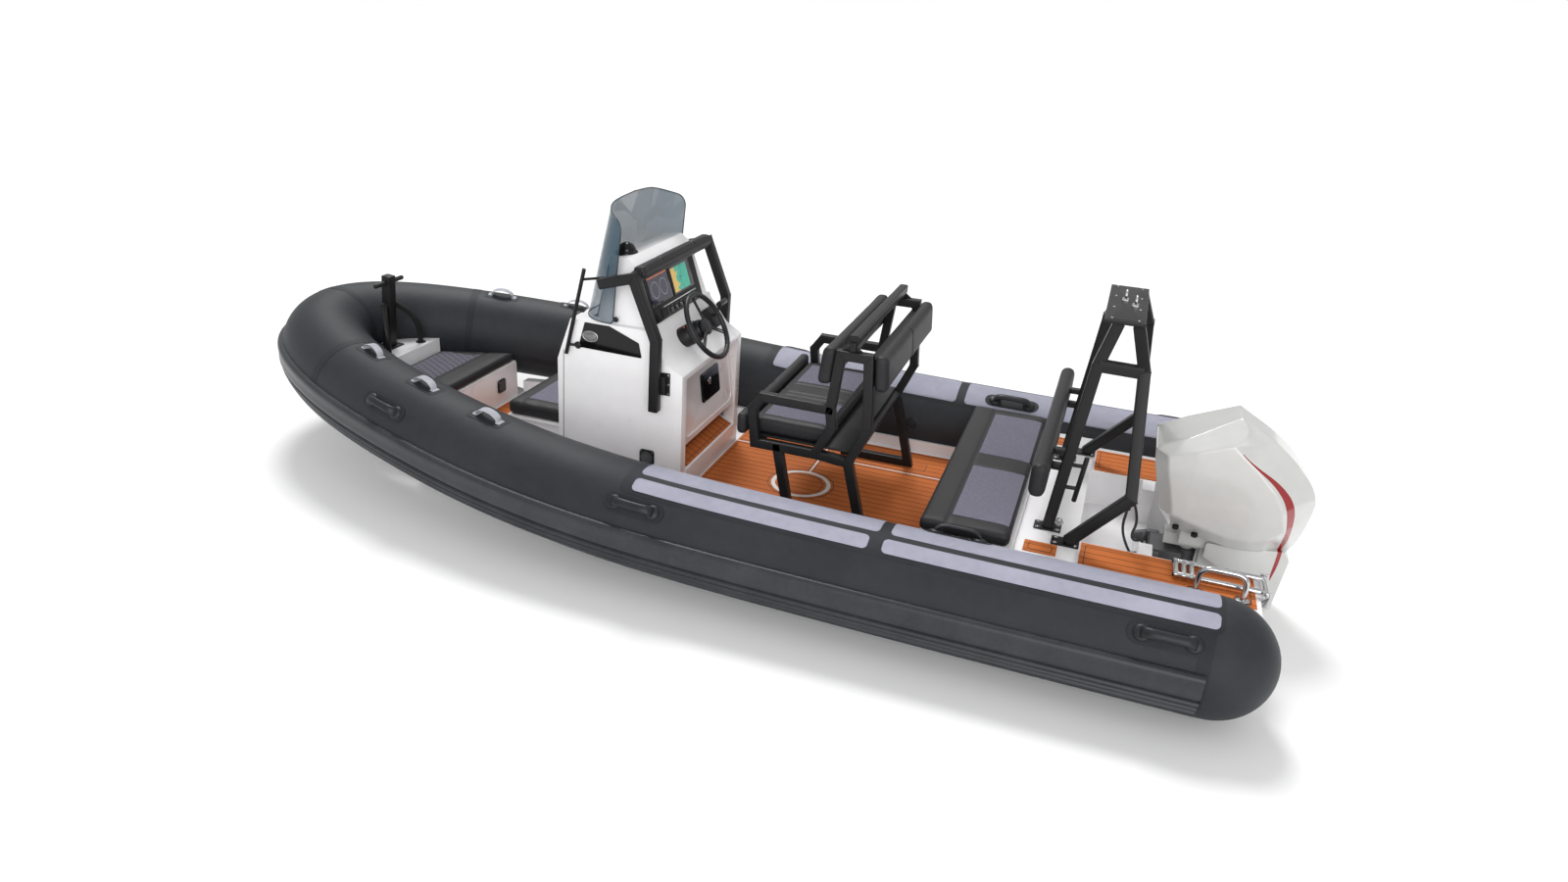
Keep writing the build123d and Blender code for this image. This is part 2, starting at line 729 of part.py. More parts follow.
def pad_outline(high, low, pad_low, pad_high, thick):
    """Outline of a pad on the face of a leaning upright, ahead of it if thick is positive."""
    lean_run = Vector(high[0] - low[0], 0, high[1] - low[1])
    reach = (seat_tube / 2 + skin_gap) * lean_run.length / abs(lean_run.Z) * (1 if thick > 0 else -1)
    return [(on_line(low, high, z) + reach + depth, z)
            for depth, z in ((0, pad_low), (0, pad_high), (thick, pad_high), (thick, pad_low))]


with BuildPart() as helm_backrest:
    side_block(pad_outline(*front_upright, 925, 1115, 70), 0, 2 * (seat_y + 25), corner=22)

with BuildPart() as rear_backrest:
    side_block(pad_outline(*rear_leg[2:4], 930, 1110, -66), 0, 2 * (seat_y + 25), corner=22)

save(port_seat_frame, "port_seat_frame")
save(starboard_seat_frame, "starboard_seat_frame")
save(seat_handrail, "seat_handrail")
save(helm_seat_pan, "helm_seat_pan")
save(helm_seat_cushion, "helm_seat_cushion")
save(helm_bolster, "helm_bolster")
save(helm_backrest, "helm_backrest")
save(rear_backrest, "rear_backrest")

# ---------------------------------------------------------------- aft bench
bench_aft = floor_aft
bench_fwd = 985
bench_half = 762
bench_top = 408
bench_wall = 12
bench_pad_t = 66

with BuildPart() as bench_box:
    box_between((bench_aft, -bench_half, deck_z), (bench_fwd, bench_half, bench_top))
    box_between((bench_aft + bench_wall, -600, deck_z + bench_wall),
                (bench_fwd - bench_wall, 600, bench_top + 1), mode=Mode.SUBTRACT)
    add(collar_room.part, mode=Mode.SUBTRACT)

with BuildPart() as bench_lid:
    box_between((bench_aft + 2, -bench_half + 8, bench_top + skin_gap),
                (bench_fwd, bench_half - 8, bench_top + skin_gap + lid_t))

with BuildPart() as bench_cushion:
    plan_block([(bench_aft + 10, bench_half + 4), (bench_fwd + 15, bench_half + 4),
                (bench_fwd + 15, -bench_half - 4), (bench_aft + 10, -bench_half - 4)],
               bench_top + lid_t + 2 * skin_gap, bench_pad_t, corner=30)
    fillet(bench_cushion.faces().sort_by(Axis.Z)[-1].edges(), 20)

save(bench_box, "bench_box")
save(bench_lid, "bench_lid")
save(bench_cushion, "bench_cushion")

# ---------------------------------------------------------------- aft deck, pods and motor well
well_front = 322        # forward wall of the motor well
well_half = 416
aft_deck_top = 400
pod_top = 360
pod_aft = -430
pod_half = 760
pod_low = 40

with BuildPart() as aft_deck:
    box_between((well_front, -pod_half, hull_top), (bench_aft - 1, pod_half, aft_deck_top))
    for side in (1, -1):
        low_y, high_y = sorted((side * well_half, side * pod_half))
        box_between((pod_aft, low_y, pod_low), (0, high_y, pod_top))
        box_between((-0.5, low_y, hull_top), (well_front, high_y, pod_top))
        low_y, high_y = sorted((side * (motor_half + 1), side * well_half))
        box_between((0, low_y, hull_top), (transom_t, high_y, pod_top))
    box_between((transom_t + 0.5, -well_half, hull_top), (well_front, well_half, transom_top))
    add(collar_room.part, mode=Mode.SUBTRACT)

save(aft_deck, "aft_deck")

# ---------------------------------------------------------------- A-frame over the stern
arch_size = 50
arch_foot = (460, 420, aft_deck_top)
arch_knee = (388, 402, 1188)
arch_top = (345, 300, 1328)
brace_top = (200, 402, 1185)
brace_knee = (145, 520, 660)
brace_end = (372, 541, aft_deck_top)
brace_head = (250, 300, 1328)
plate_z = 1350
plate_x = (232, 402)
plate_half = 318
plate_t = 16

gland_at = (150, 486, 640)      # where the rigging hoses leave the port leg
hose_step = 28                  # the second hose leaves this much lower

with BuildPart() as a_frame:
    for side in (1, -1):
        leg = [(x, side * y, z) for x, y, z in (arch_foot, arch_knee, arch_top)]
        square_frame([Vector(*leg[0]) + Vector(0, 0, 30), leg[1], leg[2]], arch_size)
        prop = [(x, side * y, z) for x, y, z in (arch_knee, brace_top, brace_knee, brace_end)]
        square_frame(prop[:3], arch_size)
        square_bar((brace_head[0], side * brace_head[1], brace_head[2]), prop[1], arch_size)
        square_bar(prop[2], Vector(*prop[3]) + Vector(-18, 0, 32), arch_size)
        for foot, z in ((arch_foot, aft_deck_top), (brace_end, aft_deck_top)):
            low_y, high_y = sorted((side * (foot[1] - 40), side * (foot[1] + 40)))
            box_between((foot[0] - 60, low_y, z), (foot[0] + 60, high_y, z + 8))
        # brackets of the bench backrest
        low_y, high_y = sorted((side * 394, side * 430))
        box_between((425, low_y, 690), (494 - skin_gap, high_y, 718))
        box_between((415, low_y, 765), (494 - skin_gap, high_y, 790))
    box_between((gland_at[0] - 13, gland_at[1], gland_at[2] - hose_step - 13),
                (gland_at[0] + 13, gland_at[1] + 24, gland_at[2] + 13))
    box_between((plate_x[0], -plate_half, plate_z), (plate_x[1], plate_half, plate_z + plate_t))
    box_between((100, -700, aft_deck_top - 60), (540, 700, aft_deck_top), mode=Mode.SUBTRACT)
    # line rack on the port leg
    rod((352, 405, 765), (372, 405, 545), 22)
    rod((362, 405, 720), (432, 410, 720), 18)
    rod((369, 405, 610), (442, 410, 610), 18)

with BuildPart() as tow_rings:
    for x, y in ((330, -40), (285, 40)):
        box_between((x - 14, y - 26, plate_z + plate_t), (x + 14, y + 26, plate_z + plate_t + 8))
        with Locations(Plane(origin=(x, y, plate_z + plate_t + 26), z_dir=(1, 0, 0))):
            Torus(20, 5)

with BuildPart() as bench_backrest:
    side_block([(494, 652), (494, 815), (564, 815), (564, 652)], 0, 2 * 705, corner=24)

save(a_frame, "a_frame")
save(tow_rings, "tow_rings")
save(bench_backrest, "bench_backrest")

# ---------------------------------------------------------------- boarding ladder and hoop
ladder_z = 388
ladder_hinge_x = -446
ladder_y = (590, 470)
ladder_d = 25
ladder_rung_d = 23
hoop_fwd = -172          # feet of the grab hoop
hoop_aft = -356
hoop_y = 655
hoop_top = 478

with BuildPart() as boarding_ladder:
    for y in ladder_y:
        rod((ladder_hinge_x, y, ladder_z), (-78, y, ladder_z), ladder_d)
    for x in (-92, -124, -156):
        rod((x, ladder_y[1], ladder_z), (x, ladder_y[0], ladder_z), ladder_rung_d)
    rod((ladder_hinge_x, ladder_y[1] - 28, ladder_z), (ladder_hinge_x, ladder_y[0] + 28, ladder_z), 20)

with BuildPart() as ladder_bracket:
    for y in (ladder_y[0] + 20, ladder_y[1] - 20):
        box_between((ladder_hinge_x - 14, y - 4, ladder_z - 60), (pod_aft - skin_gap, y + 4, ladder_z + 14))
    for y in (ladder_y[0] + 20, ladder_y[1] - 20):
        rod((ladder_hinge_x, y - 5, ladder_z), (ladder_hinge_x, y + 5, ladder_z), 20.6, mode=Mode.SUBTRACT)

with BuildPart() as grab_hoop:
    with BuildLine() as hoop_path:
        FilletPolyline((hoop_fwd, hoop_y, pod_top), (hoop_fwd, hoop_y, hoop_top),
                       (hoop_aft, hoop_y, hoop_top), (hoop_aft, hoop_y, pod_top), radius=85)
    with BuildSketch(Plane(origin=hoop_path.line @ 0, z_dir=hoop_path.line % 0)) as hoop_section:
        Circle(12.5)
    sweep(hoop_section.sketch, hoop_path.line)

save(boarding_ladder, "boarding_ladder")
save(ladder_bracket, "ladder_bracket")
save(grab_hoop, "grab_hoop")

# ---------------------------------------------------------------- deck coverings
cover_t = 5
with BuildPart() as deck_coverings:
    plan_block([(1010, 640), (1010, -640), (1040, -690), (2280, -690), (2280, 690), (1040, 690)],
               deck_z, cover_t)
    # clear of the seat's feet
    for y in (-seat_y, seat_y):
        box_between((1200, y - 30, deck_z - 1), (1700, y + 30, deck_z + cover_t + 1), mode=Mode.SUBTRACT)
    plan_block([(3420, 480), (3780, 420), (3780, -420), (3420, -480)], deck_z, cover_t)

    # sloping pad of the footrest
    pad_line = Vector(2400 - console_aft + 6, 0, 322 - 268).normalized()
    pad_normal = Vector(-pad_line.Z, 0, pad_line.X)
    pad_centre = Vector((2400 + console_aft - 6) / 2, 0, (322 + 268) / 2)
    with BuildSketch(Plane(origin=pad_centre, x_dir=pad_line, z_dir=pad_normal)) as pad_face:
        Rectangle(100, 640)
    extrude(pad_face.sketch, amount=cover_t)
    # aft deck and pods
    for side in (1, -1):
        low_y, high_y = sorted((side * (well_half + 14), side * 700))
        box_between((pod_aft + 20, low_y, pod_top), (well_front - 20, high_y, pod_top + cover_t))
        low_y, high_y = sorted((side * 590, side * 690))
        box_between((400, low_y, aft_deck_top), (540, high_y, aft_deck_top + cover_t))

    add(grab_hoop.part, mode=Mode.SUBTRACT)

save(deck_coverings, "deck_coverings")

# ---------------------------------------------------------------- outboard motor
tilt_axis = (-30, 0, 205)
tilt_d = 28
hose_end_x = 34         # upright fitting of a rigging hose on the clamp bracket
hose_end_y = 118
hose_end_z = 246
side_end = (-24, 150, 205)      # sideways fitting of the other hose
steer_x = -170          # the motor's swivel tube
swivel_d = 56
prop_z = -578
prop_x = -520
prop_r = 175

with BuildPart() as outboard_bracket:
    for side in (1, -1):
        side_block([(-skin_gap, -60), (-62, -60), (-62, 180), (-50, 232), (-8, 232), (68, 205),
                    (68, transom_top + skin_gap), (-skin_gap, transom_top + skin_gap)],
                   side * 118, 30)
    rod((tilt_axis[0], -132, tilt_axis[2]), (tilt_axis[0], 132, tilt_axis[2]), tilt_d)
    rod((hose_end_x, hose_end_y, transom_top + 10), (hose_end_x, hose_end_y, hose_end_z), 24)
    rod((side_end[0], 110, side_end[2]), side_end, 24)

# swivel bracket: side outline of its front block, x, z
swivel_outline = [(-150, 240), (-10, 236), (-2, 205), (-12, 180), (-66, 150), (-110, -120), (-150, -180)]
swivel_tube_r = 45
with BuildPart() as outboard_swivel:
    side_block(swivel_outline, 0, 180)
    rod((steer_x, 0, swivel_outline[-1][1]), (steer_x, 0, swivel_outline[0][1]), 2 * swivel_tube_r)
    rod((tilt_axis[0], -92, tilt_axis[2]), (tilt_axis[0], 92, tilt_axis[2]), tilt_d + 2 * skin_gap,
        mode=Mode.SUBTRACT)
    rod((steer_x, 0, -200), (steer_x, 0, 260), swivel_d + 2 * skin_gap, mode=Mode.SUBTRACT)

# cowl outlines: side view x, z; half width against height y, z; plan x, y
cowl_side = [(0, 480), (60, 700), (70, 768), (-246, 976), (-330, 916), (-520, 788), (-628, 645), (-600, 470),
             (-560, 380), (-340, 352), (-60, 400)]
cowl_cross = [(150, 330), (236, 450), (242, 640), (205, 800), (90, 975)]
cowl_plan = [(75, 150), (20, 225), (-380, 242), (-560, 190), (-632, 90)]


def cowl_solid(shrink):
    """Cowl as the common part of its three outlines, each drawn in by shrink."""
    with BuildSketch(side_plane(0)) as side_view:
        with BuildLine():
            Polyline(*cowl_side, close=True)
        make_face()
        if shrink:
            offset(amount=-shrink)
    extrude(side_view.sketch, amount=300, both=True)
    with BuildSketch(cross_plane(-700)) as end_view:
        with BuildLine():
            Polyline(*cowl_cross, *[(-y, z) for y, z in reversed(cowl_cross)], close=True)
        make_face()
        if shrink:
            offset(amount=-shrink)
    extrude(end_view.sketch, amount=900, mode=Mode.INTERSECT)
    with BuildSketch(Plane.XY.offset(300)) as top_view:
        with BuildLine():
            Polyline(*mirrored(cowl_plan), close=True)
        make_face()
        if shrink:
            offset(amount=-shrink)
    extrude(top_view.sketch, amount=720, mode=Mode.INTERSECT)


with BuildPart() as cowl_hollow:
    cowl_solid(6)

with BuildPart() as outboard_cowl:
    cowl_solid(0)
    add(cowl_hollow.part, mode=Mode.SUBTRACT)
    box_between((-300.5, -110.5, 300), (-119.5, 110.5, 425), mode=Mode.SUBTRACT)

with BuildPart() as outboard_engine:
    box_between((-440, -120, 420), (-60, 120, 760))

# midsection: side outline x, z
mid_front = steer_x - swivel_tube_r - 7
mid_outline = [(mid_front, 262), (mid_front, 320), (-555, 320), (-575, 60), (-430, -372), (mid_front, -372)]
# skirt of the casing under the cowl: side outline x, z
skirt_half = 130
skirt_outline = [(-235, 268), (-235, 342), (-340, 342), (-556, 368), (-586, 330), (-566, 60), (-500, 60), (-380, 190)]
with BuildPart() as outboard_midsection:
    side_block(mid_outline, 0, 150, corner=20)
    side_block(skirt_outline, 0, 2 * skirt_half, corner=14)
    rod((steer_x, 0, -240), (steer_x, 0, 300), swivel_d)
    box_between((steer_x - 60, -50, 262), (-60, 50, 320))
    box_between((steer_x - 60, -45, -250), (steer_x + 40, 45, -200))
    box_between((-300, -110, 300), (-120, 110, 420))

gear_r = 62
gear_aft = -468
with BuildPart() as outboard_gearcase:
    # anti-ventilation plate, strut, torpedo and skeg
    plan_block(mirrored([(-560, 40), (-520, 110), (-300, 125), (-150, 40)]), -384, 12)
    side_block([(-150, -384), (-400, -384), (-460, prop_z), (-130, prop_z)], 0, 50)
    rod((-120, 0, prop_z), (gear_aft, 0, prop_z), 2 * gear_r)
    with Locations(Plane(origin=(-120, 0, prop_z), z_dir=(1, 0, 0))):
        Cone(gear_r, 14, 70, align=(Align.CENTER, Align.CENTER, Align.MIN))
    side_block([(-180, prop_z), (-430, prop_z), (-440, -730), (-350, -745), (-260, -660)], 0, 14)

blade_count = 3
# sections of a blade: radius, chord, thickness, pitch in degrees
blade_sections = [(34, 62, 14, 52), (110, 130, 8, 32), (prop_r - 2, 70, 5, 22)]
with BuildPart() as propeller:
    rod((gear_aft - skin_gap, 0, prop_z), (-590, 0, prop_z), 96)
    for k in range(blade_count):
        spin = 360 / blade_count * k + 90
        axis = Vector(0, math.cos(math.radians(spin)), math.sin(math.radians(spin)))
        around_hub = axis.cross(Vector(1, 0, 0))
        blade_faces = []
        for radius, chord, thick, pitch in blade_sections:
            turn = math.radians(pitch)
            chord_dir = around_hub * math.cos(turn) + Vector(1, 0, 0) * math.sin(turn)
            centre = Vector(prop_x - 15, 0, prop_z) + axis * radius
            with BuildSketch(Plane(origin=centre, x_dir=chord_dir, z_dir=axis)) as blade_section:
                Rectangle(chord, thick)
            blade_faces.append(blade_section.sketch.faces()[0])
        loft(blade_faces, ruled=True)

# rigging hoses, from the gland on the A-frame to the clamp bracket
hose_d = 12
upper_hose_route = [
    gland_at, (150, 450, 640), (142, 418, 624), (122, 392, 590), (100, 368, 530), (88, 340, 462),
    (98, 312, 400), (86, 278, 352), (52, 242, 338), (32, 206, 353), (28, 168, 357), (30, 138, 338),
    (hose_end_x, hose_end_y, 308), (hose_end_x, hose_end_y, hose_end_z),
]
lower_hose_route = [
    (gland_at[0], gland_at[1], gland_at[2] - hose_step), (150, 450, gland_at[2] - hose_step),
    (148, 414, 600), (143, 384, 572), (142, 362, 520), (146, 346, 462), (136, 328, 400), (112, 308, 340),
    (84, 292, 290), (54, 272, 252), (20, 248, 226), (-8, 222, 212), (side_end[0], 186, side_end[2]), side_end,
]


def hose(route):
    """Hose along its route, on arcs as large as its runs allow."""
    radii = bend_radii(route)
    with BuildLine() as path:
        FilletPolyline(*route, radius=radii)
    with BuildSketch(Plane(origin=path.line @ 0, z_dir=path.line % 0)) as section:
        Circle(hose_d / 2)
    sweep(section.sketch, path.line)
    print("hose length", round(sum(edge.length for edge in path.edges())), "radii", [round(r) for r in radii])


with BuildPart() as upper_rigging_hose:
    hose(upper_hose_route)

with BuildPart() as lower_rigging_hose:
    hose(lower_hose_route)

save(upper_rigging_hose, "upper_rigging_hose")
save(lower_rigging_hose, "lower_rigging_hose")
save(outboard_bracket, "outboard_bracket")
save(outboard_swivel, "outboard_swivel")
save(outboard_cowl, "outboard_cowl")
save(outboard_engine, "outboard_engine")
save(outboard_midsection, "outboard_midsection")
save(outboard_gearcase, "outboard_gearcase")
save(propeller, "propeller")

# ---------------------------------------------------------------- fittings on the collar
# stations of the grab handles, and degrees round the tube from its top, outboard positive
handle_at = ((2200, 52), (-60, 52), (3660, 52), (805, -26))


def collar_point(x):
    """Centre of the port tube at the station x, on its straight runs."""
    for start, end in zip(collar_route[:-1], collar_route[1:]):
        if start[0] <= x <= end[0]:
            t = (x - start[0]) / (end[0] - start[0])
            return Vector(*[a + (b - a) * t for a, b in zip(start, end)])


def on_collar(x, degrees):
    """Plane tangent to the port tube: local x aft-to-forward along it, z outward."""
    ahead = (collar_point(x + 20) - collar_point(x - 20)).normalized()
    outboard = Vector(-ahead.Y, ahead.X, 0).normalized()
    upward = ahead.cross(outboard) * -1
    if upward.Z < 0:
        upward = upward * -1
    angle = math.radians(degrees)
    outward = outboard * math.sin(angle) + upward * math.cos(angle)
    return Plane(origin=collar_point(x) + outward * (collar_r + skin_gap), x_dir=ahead, z_dir=outward)


with BuildPart() as port_handles:
    for x, degrees in handle_at:
        seat = on_collar(x, degrees)
        with BuildSketch(seat.offset(-10)) as patch:
            SlotOverall(300, 90)
        extrude(patch.sketch, amount=14)
        for end in (-1, 1):
            with BuildSketch(seat.offset(4)) as pillar:
                with Locations((end * 85, 0)):
                    RectangleRounded(50, 40, 12)
            extrude(pillar.sketch, amount=34)
        with BuildSketch(seat.offset(30)) as grip:
            SlotOverall(224, 36)
        extrude(grip.sketch, amount=24)

with BuildPart() as tube_handles:
    add(port_handles.part)
    mirror(port_handles.part, about=Plane.XZ)
    add(collar_room.part, mode=Mode.SUBTRACT)

strap_x = (4010, 3560, 3120)
with BuildPart() as port_strap_loops:
    for x in strap_x:
        seat = on_collar(x, -8)
        with BuildSketch(seat.offset(-14)) as strap_patch:
            RectangleRounded(120, 150, 20)
        extrude(strap_patch.sketch, amount=16)
        with BuildSketch(Plane(origin=seat.origin, x_dir=seat.x_dir.cross(seat.z_dir), z_dir=seat.x_dir)
                         .offset(-20)) as strap:
            with BuildLine():
                outer_arc = ThreePointArc((-75, -10), (0, 38), (75, -10))
                inner_arc = ThreePointArc((-70, -10), (0, 34), (70, -10))
                Line(outer_arc @ 0, inner_arc @ 0)
                Line(outer_arc @ 1, inner_arc @ 1)
            make_face()
        extrude(strap.sketch, amount=40)

with BuildPart() as strap_loops:
    add(port_strap_loops.part)
    mirror(port_strap_loops.part, about=Plane.XZ)
    add(collar_room.part, mode=Mode.SUBTRACT)

with BuildPart() as inflation_valves:
    for x, degrees in ((1330, -80), (3150, -80)):
        seat = on_collar(x, degrees)
        with BuildSketch(seat.offset(-8)) as valve:
            Circle(32)
        extrude(valve.sketch, amount=14)
    mirror(about=Plane.XZ)
    add(collar_room.part, mode=Mode.SUBTRACT)

save(tube_handles, "tube_handles")
save(strap_loops, "strap_loops")
save(inflation_valves, "inflation_valves")
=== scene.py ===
import bpy
import bmesh
import json
import math
import numpy as np
from mathutils import Matrix, Vector

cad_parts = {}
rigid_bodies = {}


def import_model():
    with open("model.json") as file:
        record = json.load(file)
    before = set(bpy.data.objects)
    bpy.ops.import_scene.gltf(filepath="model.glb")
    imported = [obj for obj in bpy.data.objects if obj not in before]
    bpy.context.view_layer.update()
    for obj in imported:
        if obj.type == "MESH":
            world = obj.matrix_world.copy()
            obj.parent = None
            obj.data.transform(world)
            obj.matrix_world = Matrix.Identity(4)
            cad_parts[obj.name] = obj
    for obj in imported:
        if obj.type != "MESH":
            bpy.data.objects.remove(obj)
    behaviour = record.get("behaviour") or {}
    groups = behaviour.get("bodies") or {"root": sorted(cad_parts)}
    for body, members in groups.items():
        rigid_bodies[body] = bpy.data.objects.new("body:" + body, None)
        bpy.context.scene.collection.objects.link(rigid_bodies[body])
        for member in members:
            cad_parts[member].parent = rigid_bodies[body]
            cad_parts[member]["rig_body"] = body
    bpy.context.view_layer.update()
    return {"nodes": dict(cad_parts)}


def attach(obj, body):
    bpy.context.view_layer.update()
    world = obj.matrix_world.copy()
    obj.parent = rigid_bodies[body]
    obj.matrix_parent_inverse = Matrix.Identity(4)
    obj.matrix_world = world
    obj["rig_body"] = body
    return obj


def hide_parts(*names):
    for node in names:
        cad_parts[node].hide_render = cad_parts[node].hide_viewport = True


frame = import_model()
print("frame loaded with", len(frame["nodes"]), "nodes")

# camera, then the two hoses
studio = {
    "place": (0.38484, 4.82981, 2.58776),
    "right": (-0.92896862, -0.3677741, 0.04194655),
    "down": (-0.19390683, 0.38697605, -0.90147084),
    "ahead": (0.31530531, -0.84557185, -0.43080251),
    "lens": 23.6,
    "shiftX": 0.036,
    "shiftY": 0.0198,
    "skyStrength": 0.5,
    "suns": (((-0.30, 0.50, -0.81), 1.95, 18), ((0.32, -0.90, -0.27), 2.0, 50)),
    "floorReach": 60,
}
cameraData = bpy.data.cameras.new("studioCamera")
cameraData.sensor_width = 36
cameraData.lens = studio["lens"]
cameraData.shift_x = studio["shiftX"]
cameraData.shift_y = studio["shiftY"]
cameraData.clip_end = 200
cameraObject = bpy.data.objects.new("studioCamera", cameraData)
bpy.context.scene.collection.objects.link(cameraObject)
cameraTurn = Matrix((studio["right"], -Vector(studio["down"]), -Vector(studio["ahead"]))).transposed()
cameraObject.matrix_world = Matrix.Translation(studio["place"]) @ cameraTurn.to_4x4()
bpy.context.scene.camera = cameraObject

hoses = {
    "diameter": 0.012,
    "upperHose": [
        (0.150, 0.486, 0.640), (0.150, 0.450, 0.640), (0.142, 0.418, 0.624), (0.122, 0.392, 0.590),
        (0.100, 0.368, 0.530), (0.088, 0.340, 0.462), (0.098, 0.312, 0.400), (0.086, 0.278, 0.352),
        (0.052, 0.242, 0.338), (0.032, 0.206, 0.353), (0.028, 0.168, 0.357), (0.030, 0.138, 0.338),
        (0.034, 0.118, 0.308), (0.034, 0.118, 0.246),
    ],
    "lowerHose": [
        (0.150, 0.486, 0.612), (0.150, 0.450, 0.612), (0.148, 0.414, 0.600), (0.143, 0.384, 0.572),
        (0.142, 0.362, 0.520), (0.146, 0.346, 0.462), (0.136, 0.328, 0.400), (0.112, 0.308, 0.340),
        (0.084, 0.292, 0.290), (0.054, 0.272, 0.252), (0.020, 0.248, 0.226), (-0.008, 0.222, 0.212),
        (-0.024, 0.186, 0.205), (-0.024, 0.150, 0.205),
    ],
    "upperLength": 0.649,
    "lowerLength": 0.639,
}


def hoseCurve(name, points, node):
    # a spline of order 3 on the hose's own control points, whose radius sets the thickness and so fits its box to it
    data = bpy.data.curves.new(name, "CURVE")
    data.dimensions = "3D"
    data.resolution_u = 12
    data.bevel_depth = 1.0
    data.bevel_resolution = 5
    data.use_fill_caps = True
    spline = data.splines.new("NURBS")
    spline.points.add(len(points) - 1)
    spline.points.foreach_set("co", np.c_[np.array(points), np.ones(len(points))].ravel())
    spline.points.foreach_set("radius", np.full(len(points), hoses["diameter"] / 2))
    spline.order_u = 3
    spline.use_endpoint_u = True
    piece = bpy.data.objects.new(name, data)
    bpy.context.scene.collection.objects.link(piece)
    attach(piece, "boat")
    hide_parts(node)
    return piece


hosePieces = []
for name, node, route, length in (
        ("upperRiggingHose", "upper_rigging_hose", hoses["upperHose"], hoses["upperLength"]),
        ("lowerRiggingHose", "lower_rigging_hose", hoses["lowerHose"], hoses["lowerLength"])):
    hosePieces.append(hoseCurve(name, route, node))
print("camera and hoses")

# shapes: each is (points, four-sided faces, three-sided faces)


def unit(v):
    # length 1 along the last axis
    v = np.asarray(v, float)
    return v / np.linalg.norm(v, axis=-1, keepdims=True)


def turns(count):
    # angles once round, without the last
    return np.linspace(0, 2 * math.pi, count, endpoint=False)


def meshVectors(items, name):
    # the positions or normals of a mesh's points as rows of three
    flat = np.empty(len(items) * 3)
    items.foreach_get(name, flat)
    return flat.reshape(-1, 3)


def gridShell(rows, ringClosed=True, startCap=False, endCap=False, pathClosed=False):
    # faces between neighbouring rows and columns of a grid; a cap is a fan to the mean of its row
    rows = np.asarray(rows, float)
    count, width = rows.shape[:2]
    index = np.arange(count * width).reshape(count, width)
    if pathClosed:
        index = np.vstack((index, index[:1]))
    here = index if ringClosed else index[:, :-1]
    beside = np.roll(index, -1, axis=1) if ringClosed else index[:, 1:]
    quads = np.stack((here[:-1], beside[:-1], beside[1:], here[1:]), axis=-1).reshape(-1, 4)
    points = rows.reshape(-1, 3)
    fans = []
    for wanted, row, turn in ((startCap, 0, -1), (endCap, count - 1, 1)):
        if wanted:
            centre = len(points)
            points = np.vstack((points, rows[row].mean(axis=0)))
            ring = index[row]
            fan = np.stack((ring, np.roll(ring, -1), np.full(width, centre)), axis=-1)
            fans.append(fan[:, ::turn])
    return points, quads, np.vstack(fans) if fans else np.zeros((0, 3), int)


def signedVolume(shell):
    # sum of a.(b x c)/6 over the triangles, about the mean point
    points, quads, triangles = shell
    p = points - points.mean(axis=0)
    faces = np.vstack((quads[:, :3], quads[:, [0, 2, 3]], triangles)).astype(int)
    a, b, c = p[faces[:, 0]], p[faces[:, 1]], p[faces[:, 2]]
    return float((a * np.cross(b, c)).sum()) / 6


def flipped(shell):
    # the same faces, turned the other way
    return shell[0], shell[1][:, ::-1], shell[2][:, ::-1]


def outward(shell):
    # a closed shape with its faces turned out
    return shell if signedVolume(shell) >= 0 else flipped(shell)


def moved(shell, origin, xAxis, yAxis, zAxis):
    # local x, y, z carried onto three axes
    p = shell[0]
    return (np.asarray(origin) + p[:, :1] * np.asarray(xAxis) + p[:, 1:2] * np.asarray(yAxis)
            + p[:, 2:3] * np.asarray(zAxis), shell[1], shell[2])


def roundedOutline(points, corner, steps=6):
    # each corner becomes a parabola between the two points at the distance corner along its sides
    p = np.asarray(points, float)
    before, after = np.roll(p, 1, axis=0) - p, np.roll(p, -1, axis=0) - p
    longBefore, longAfter = np.linalg.norm(before, axis=1), np.linalg.norm(after, axis=1)
    reach = np.minimum(corner, 0.48 * np.minimum(longBefore, longAfter))[:, None]
    start, end = p + unit(before) * reach, p + unit(after) * reach
    t = np.linspace(0, 1, steps)[None, :, None]
    arcs = (1 - t) ** 2 * start[:, None] + 2 * t * (1 - t) * p[:, None] + t ** 2 * end[:, None]
    return arcs.reshape(-1, p.shape[1])


def plate(points, thick, corner=0.004, edge=0.0015, bothEdges=False, steps=6):
    # outline in x, y raised along z; near a face it draws in by edge*(1 - sin a) at the height edge*(1 - cos a)
    outline = roundedOutline(points, corner, steps)
    ahead = unit(np.roll(outline, -1, axis=0) - np.roll(outline, 1, axis=0) + 1e-12)
    inward = np.stack((-ahead[:, 1], ahead[:, 0]), axis=1)
    x, y = outline[:, 0], outline[:, 1]
    if (x * np.roll(y, -1) - y * np.roll(x, -1)).sum() < 0:
        inward = -inward
    a = np.linspace(0, math.pi / 2, 5)
    inset, rise = edge * (1 - np.sin(a)), edge * (1 - np.cos(a))
    if bothEdges:
        inset, height = np.r_[inset, inset[::-1]], np.r_[rise, thick - rise[::-1]]
    else:
        inset, height = np.r_[0, inset[::-1]], np.r_[0, thick - rise[::-1]]
    flat = outline[None] + inward[None] * inset[:, None, None]
    rows = np.concatenate((flat, np.broadcast_to(height[:, None, None], flat.shape[:2] + (1,))), axis=2)
    return outward(gridShell(rows, startCap=True, endCap=True))


def rectangle(width, height, x=0.0, y=0.0):
    return [(x - width / 2, y - height / 2), (x + width / 2, y - height / 2),
            (x + width / 2, y + height / 2), (x - width / 2, y + height / 2)]


